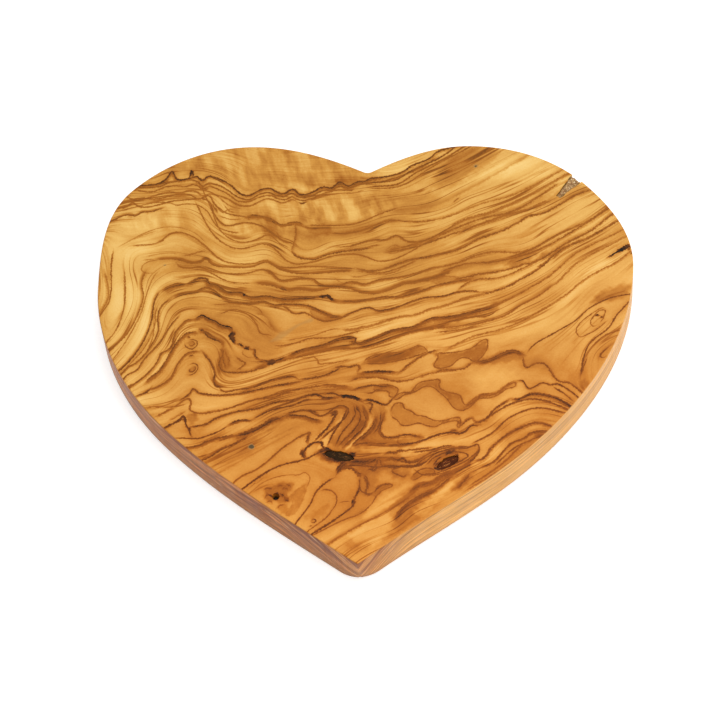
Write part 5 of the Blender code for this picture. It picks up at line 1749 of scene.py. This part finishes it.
def crumb_material(name, roughness, *stops):
    """A material that gives each crumb its own colour from the stops, with fine specks."""
    material, tree, shader = new_material(name)
    place = add_node(tree, "ShaderNodeTexCoord").outputs["Object"]
    specks = scaled(noise(place, 900.0, 3, 0.6), 0.5, -0.12)
    value = plus(times(stored(tree, "crumb"), 0.75), specks, clamp=True)
    tree.links.new(ramp(value, stops), shader.inputs["Base Color"])
    shader.inputs["Roughness"].default_value = roughness
    shader.inputs["Specular IOR Level"].default_value = CRUMB_SPECULAR
    return material


grit = crumb_material("grit", 0.85, (0.0, linear(112, 82, 50)), (0.15, linear(172, 134, 88)),
                      (0.40, linear(212, 176, 124)), (0.62, linear(196, 170, 128)),
                      (0.74, linear(140, 80, 48)), (0.86, linear(226, 202, 158)),
                      (1.0, linear(244, 232, 206)))
black_bark = crumb_material("black_bark", 0.7, (0.0, linear(44, 30, 17)), (0.45, linear(62, 42, 23)),
                            (0.80, linear(92, 60, 32)), (1.0, linear(128, 80, 40)))
red_bark = crumb_material("red_bark", 0.7, (0.0, linear(62, 28, 14)), (0.30, linear(104, 52, 25)),
                          (0.62, linear(142, 78, 38)), (1.0, linear(206, 142, 78)))

# %% The fill of the rim pocket
FILL_SINK = 0.00055
CRUMB_SINK = 0.00004
GRIT_MOUTH = 0.0006
GRIT_END = 0.0005
GRIT_SIDE = 0.00045
GRIT_SIZES = {"Density": 3.4e6, "Seed": 7, "Smallest": (0.00016, 0.00016, 0.00012),
              "Largest": (0.00058, 0.00045, 0.00040), "Least Turn": (0.0, 0.0, 0.0),
              "Most Turn": (6.2, 6.2, 6.2)}
fill_top = THICKNESS - FILL_SINK
fill = inclusion("rim_fill", wavy(wedge_outline(FILL_RECESS, FILL_LENGTH, 0.0), WAVE, 1),
                 wedge_outline(FILL_RECESS + GRIT_MOUTH, FILL_LENGTH - GRIT_END, -GRIT_SIDE),
                 THICKNESS - FILL_DEPTH, fill_top, fill_top - CRUMB_SINK, grit, GRIT_SIZES)

# %% The two bark inclusions
FLAKE_SINK = 0.0003
FLAKE_MARGIN = 0.00085


def bark(name, place, seed, material):
    """A bark inclusion with flakes that lie about along its length."""
    spin = math.radians(place["turn"])
    flake_sizes = {"Density": 2.2e6, "Seed": seed, "Smallest": (0.0003, 0.00010, 0.00010),
                   "Largest": (0.0011, 0.00026, 0.00024), "Least Turn": (-0.3, -0.1, spin - 0.35),
                   "Most Turn": (0.3, 0.1, spin + 0.35)}
    top = THICKNESS - BARK_SINK
    outline = wavy(oval_outline(**place, grow=0.0), WAVE, seed)
    seedbed = oval_outline(**place, grow=-FLAKE_MARGIN)
    return inclusion(name, outline, seedbed, top - BARK_DEPTH, top - FLAKE_SINK, top - FLAKE_SINK, material,
                     flake_sizes)


centre_bark = bark("centre_bark", CENTRE_BARK, 2, black_bark)
right_bark = bark("right_bark", RIGHT_BARK, 3, red_bark)

# %% [markdown]
# ## Floor, light and camera
#
# The board lies on a plain white floor under soft light. The floor glows for rays that come from the
# camera, or by way of a reflection, so that it reads as white there and keeps only a faint shadow.

# %% Floor
FLOOR_SIZE = 6.0
FLOOR_GREY = 0.76
FLOOR_ROUGHNESS = 0.9
FLOOR_GLOW = 0.55
floor_mesh = bpy.data.meshes.new("floor")
half = FLOOR_SIZE / 2
floor_corners = [(-half, -half, 0), (half, -half, 0), (half, half, 0), (-half, half, 0)]
floor_mesh.from_pydata(floor_corners, [], [(0, 1, 2, 3)])
floor = bpy.data.objects.new("floor", floor_mesh)
bpy.context.scene.collection.objects.link(floor)
paper, tree, shader = new_material("white_floor")
shader.inputs["Base Color"].default_value = (FLOOR_GREY, FLOOR_GREY, FLOOR_GREY, 1)
shader.inputs["Roughness"].default_value = FLOOR_ROUGHNESS
rays = add_node(tree, "ShaderNodeLightPath").outputs
seen = calc("MAXIMUM", rays["Is Camera Ray"], rays["Is Glossy Ray"])
seen = calc("MAXIMUM", seen, rays["Is Transmission Ray"])
shader.inputs["Emission Color"].default_value = (1, 1, 1, 1)
tree.links.new(times(seen, FLOOR_GLOW), shader.inputs["Emission Strength"])
floor_mesh.materials.append(paper)

# %% Light
WORLD_LEVEL = 0.62
world = bpy.data.worlds.new("soft_room")
bpy.context.scene.world = world
world.use_nodes = True
world.node_tree.nodes["Background"].inputs["Color"].default_value = (1, 1, 1, 1)
world.node_tree.nodes["Background"].inputs["Strength"].default_value = WORLD_LEVEL


def soft_lamp(name, place, size, power):
    """A round lamp that shines on the middle of the board."""
    lamp = bpy.data.lights.new(name, "AREA")
    lamp.shape = "DISK"
    lamp.size = size
    lamp.energy = power
    obj = bpy.data.objects.new(name, lamp)
    obj.location = place
    obj.rotation_euler = (-Vector(place)).to_track_quat("-Z", "Y").to_euler()
    bpy.context.scene.collection.objects.link(obj)


soft_lamp("key", (0.3, 0.2, 1.7), size=1.2, power=13.0)
soft_lamp("side", (1.1, -0.9, 0.8), size=0.8, power=6.0)

# %% Camera
ELEVATION = math.radians(61.0)
AZIMUTH = math.radians(6.12)
ROLL = math.radians(-5.49)
DISTANCE = 1.5
AIM = Vector((-0.0013, 0.00715, THICKNESS))
FOCAL_PIXELS = 3683.7
IMAGE_PIXELS = 720
SENSOR = 36.0
MIDDLE_PIXEL = (360.4, 332.8)
flat = math.cos(ELEVATION)
towards = Vector((flat * math.sin(AZIMUTH), -flat * math.cos(AZIMUTH), math.sin(ELEVATION)))
right = (-towards).cross(Vector((0, 0, 1))).normalized()
up = right.cross(-towards)
turned_right = math.cos(ROLL) * right + math.sin(ROLL) * up
turned_up = -math.sin(ROLL) * right + math.cos(ROLL) * up
camera_data = bpy.data.cameras.new("camera")
camera_data.sensor_width = SENSOR
camera_data.lens = FOCAL_PIXELS * SENSOR / IMAGE_PIXELS
camera_data.shift_x = -(MIDDLE_PIXEL[0] - IMAGE_PIXELS / 2) / IMAGE_PIXELS
camera_data.shift_y = (MIDDLE_PIXEL[1] - IMAGE_PIXELS / 2) / IMAGE_PIXELS
camera = bpy.data.objects.new("camera", camera_data)
axes_matrix = Matrix((turned_right, turned_up, towards)).transposed().to_4x4()
camera.matrix_world = Matrix.Translation(AIM + DISTANCE * towards) @ axes_matrix
bpy.context.scene.collection.objects.link(camera)
bpy.context.scene.camera = camera
bpy.context.scene.view_settings.view_transform = "Standard"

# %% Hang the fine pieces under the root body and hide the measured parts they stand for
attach(plank, "root")
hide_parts("heart_board")
for piece, node, slot in ((fill, "rim_pocket_fill", "rim_fill"),
                          (centre_bark, "centre_bark_inclusion", "bark"),
                          (right_bark, "right_bark_inclusion", "bark")):
    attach(piece, "root")
    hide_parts(node)
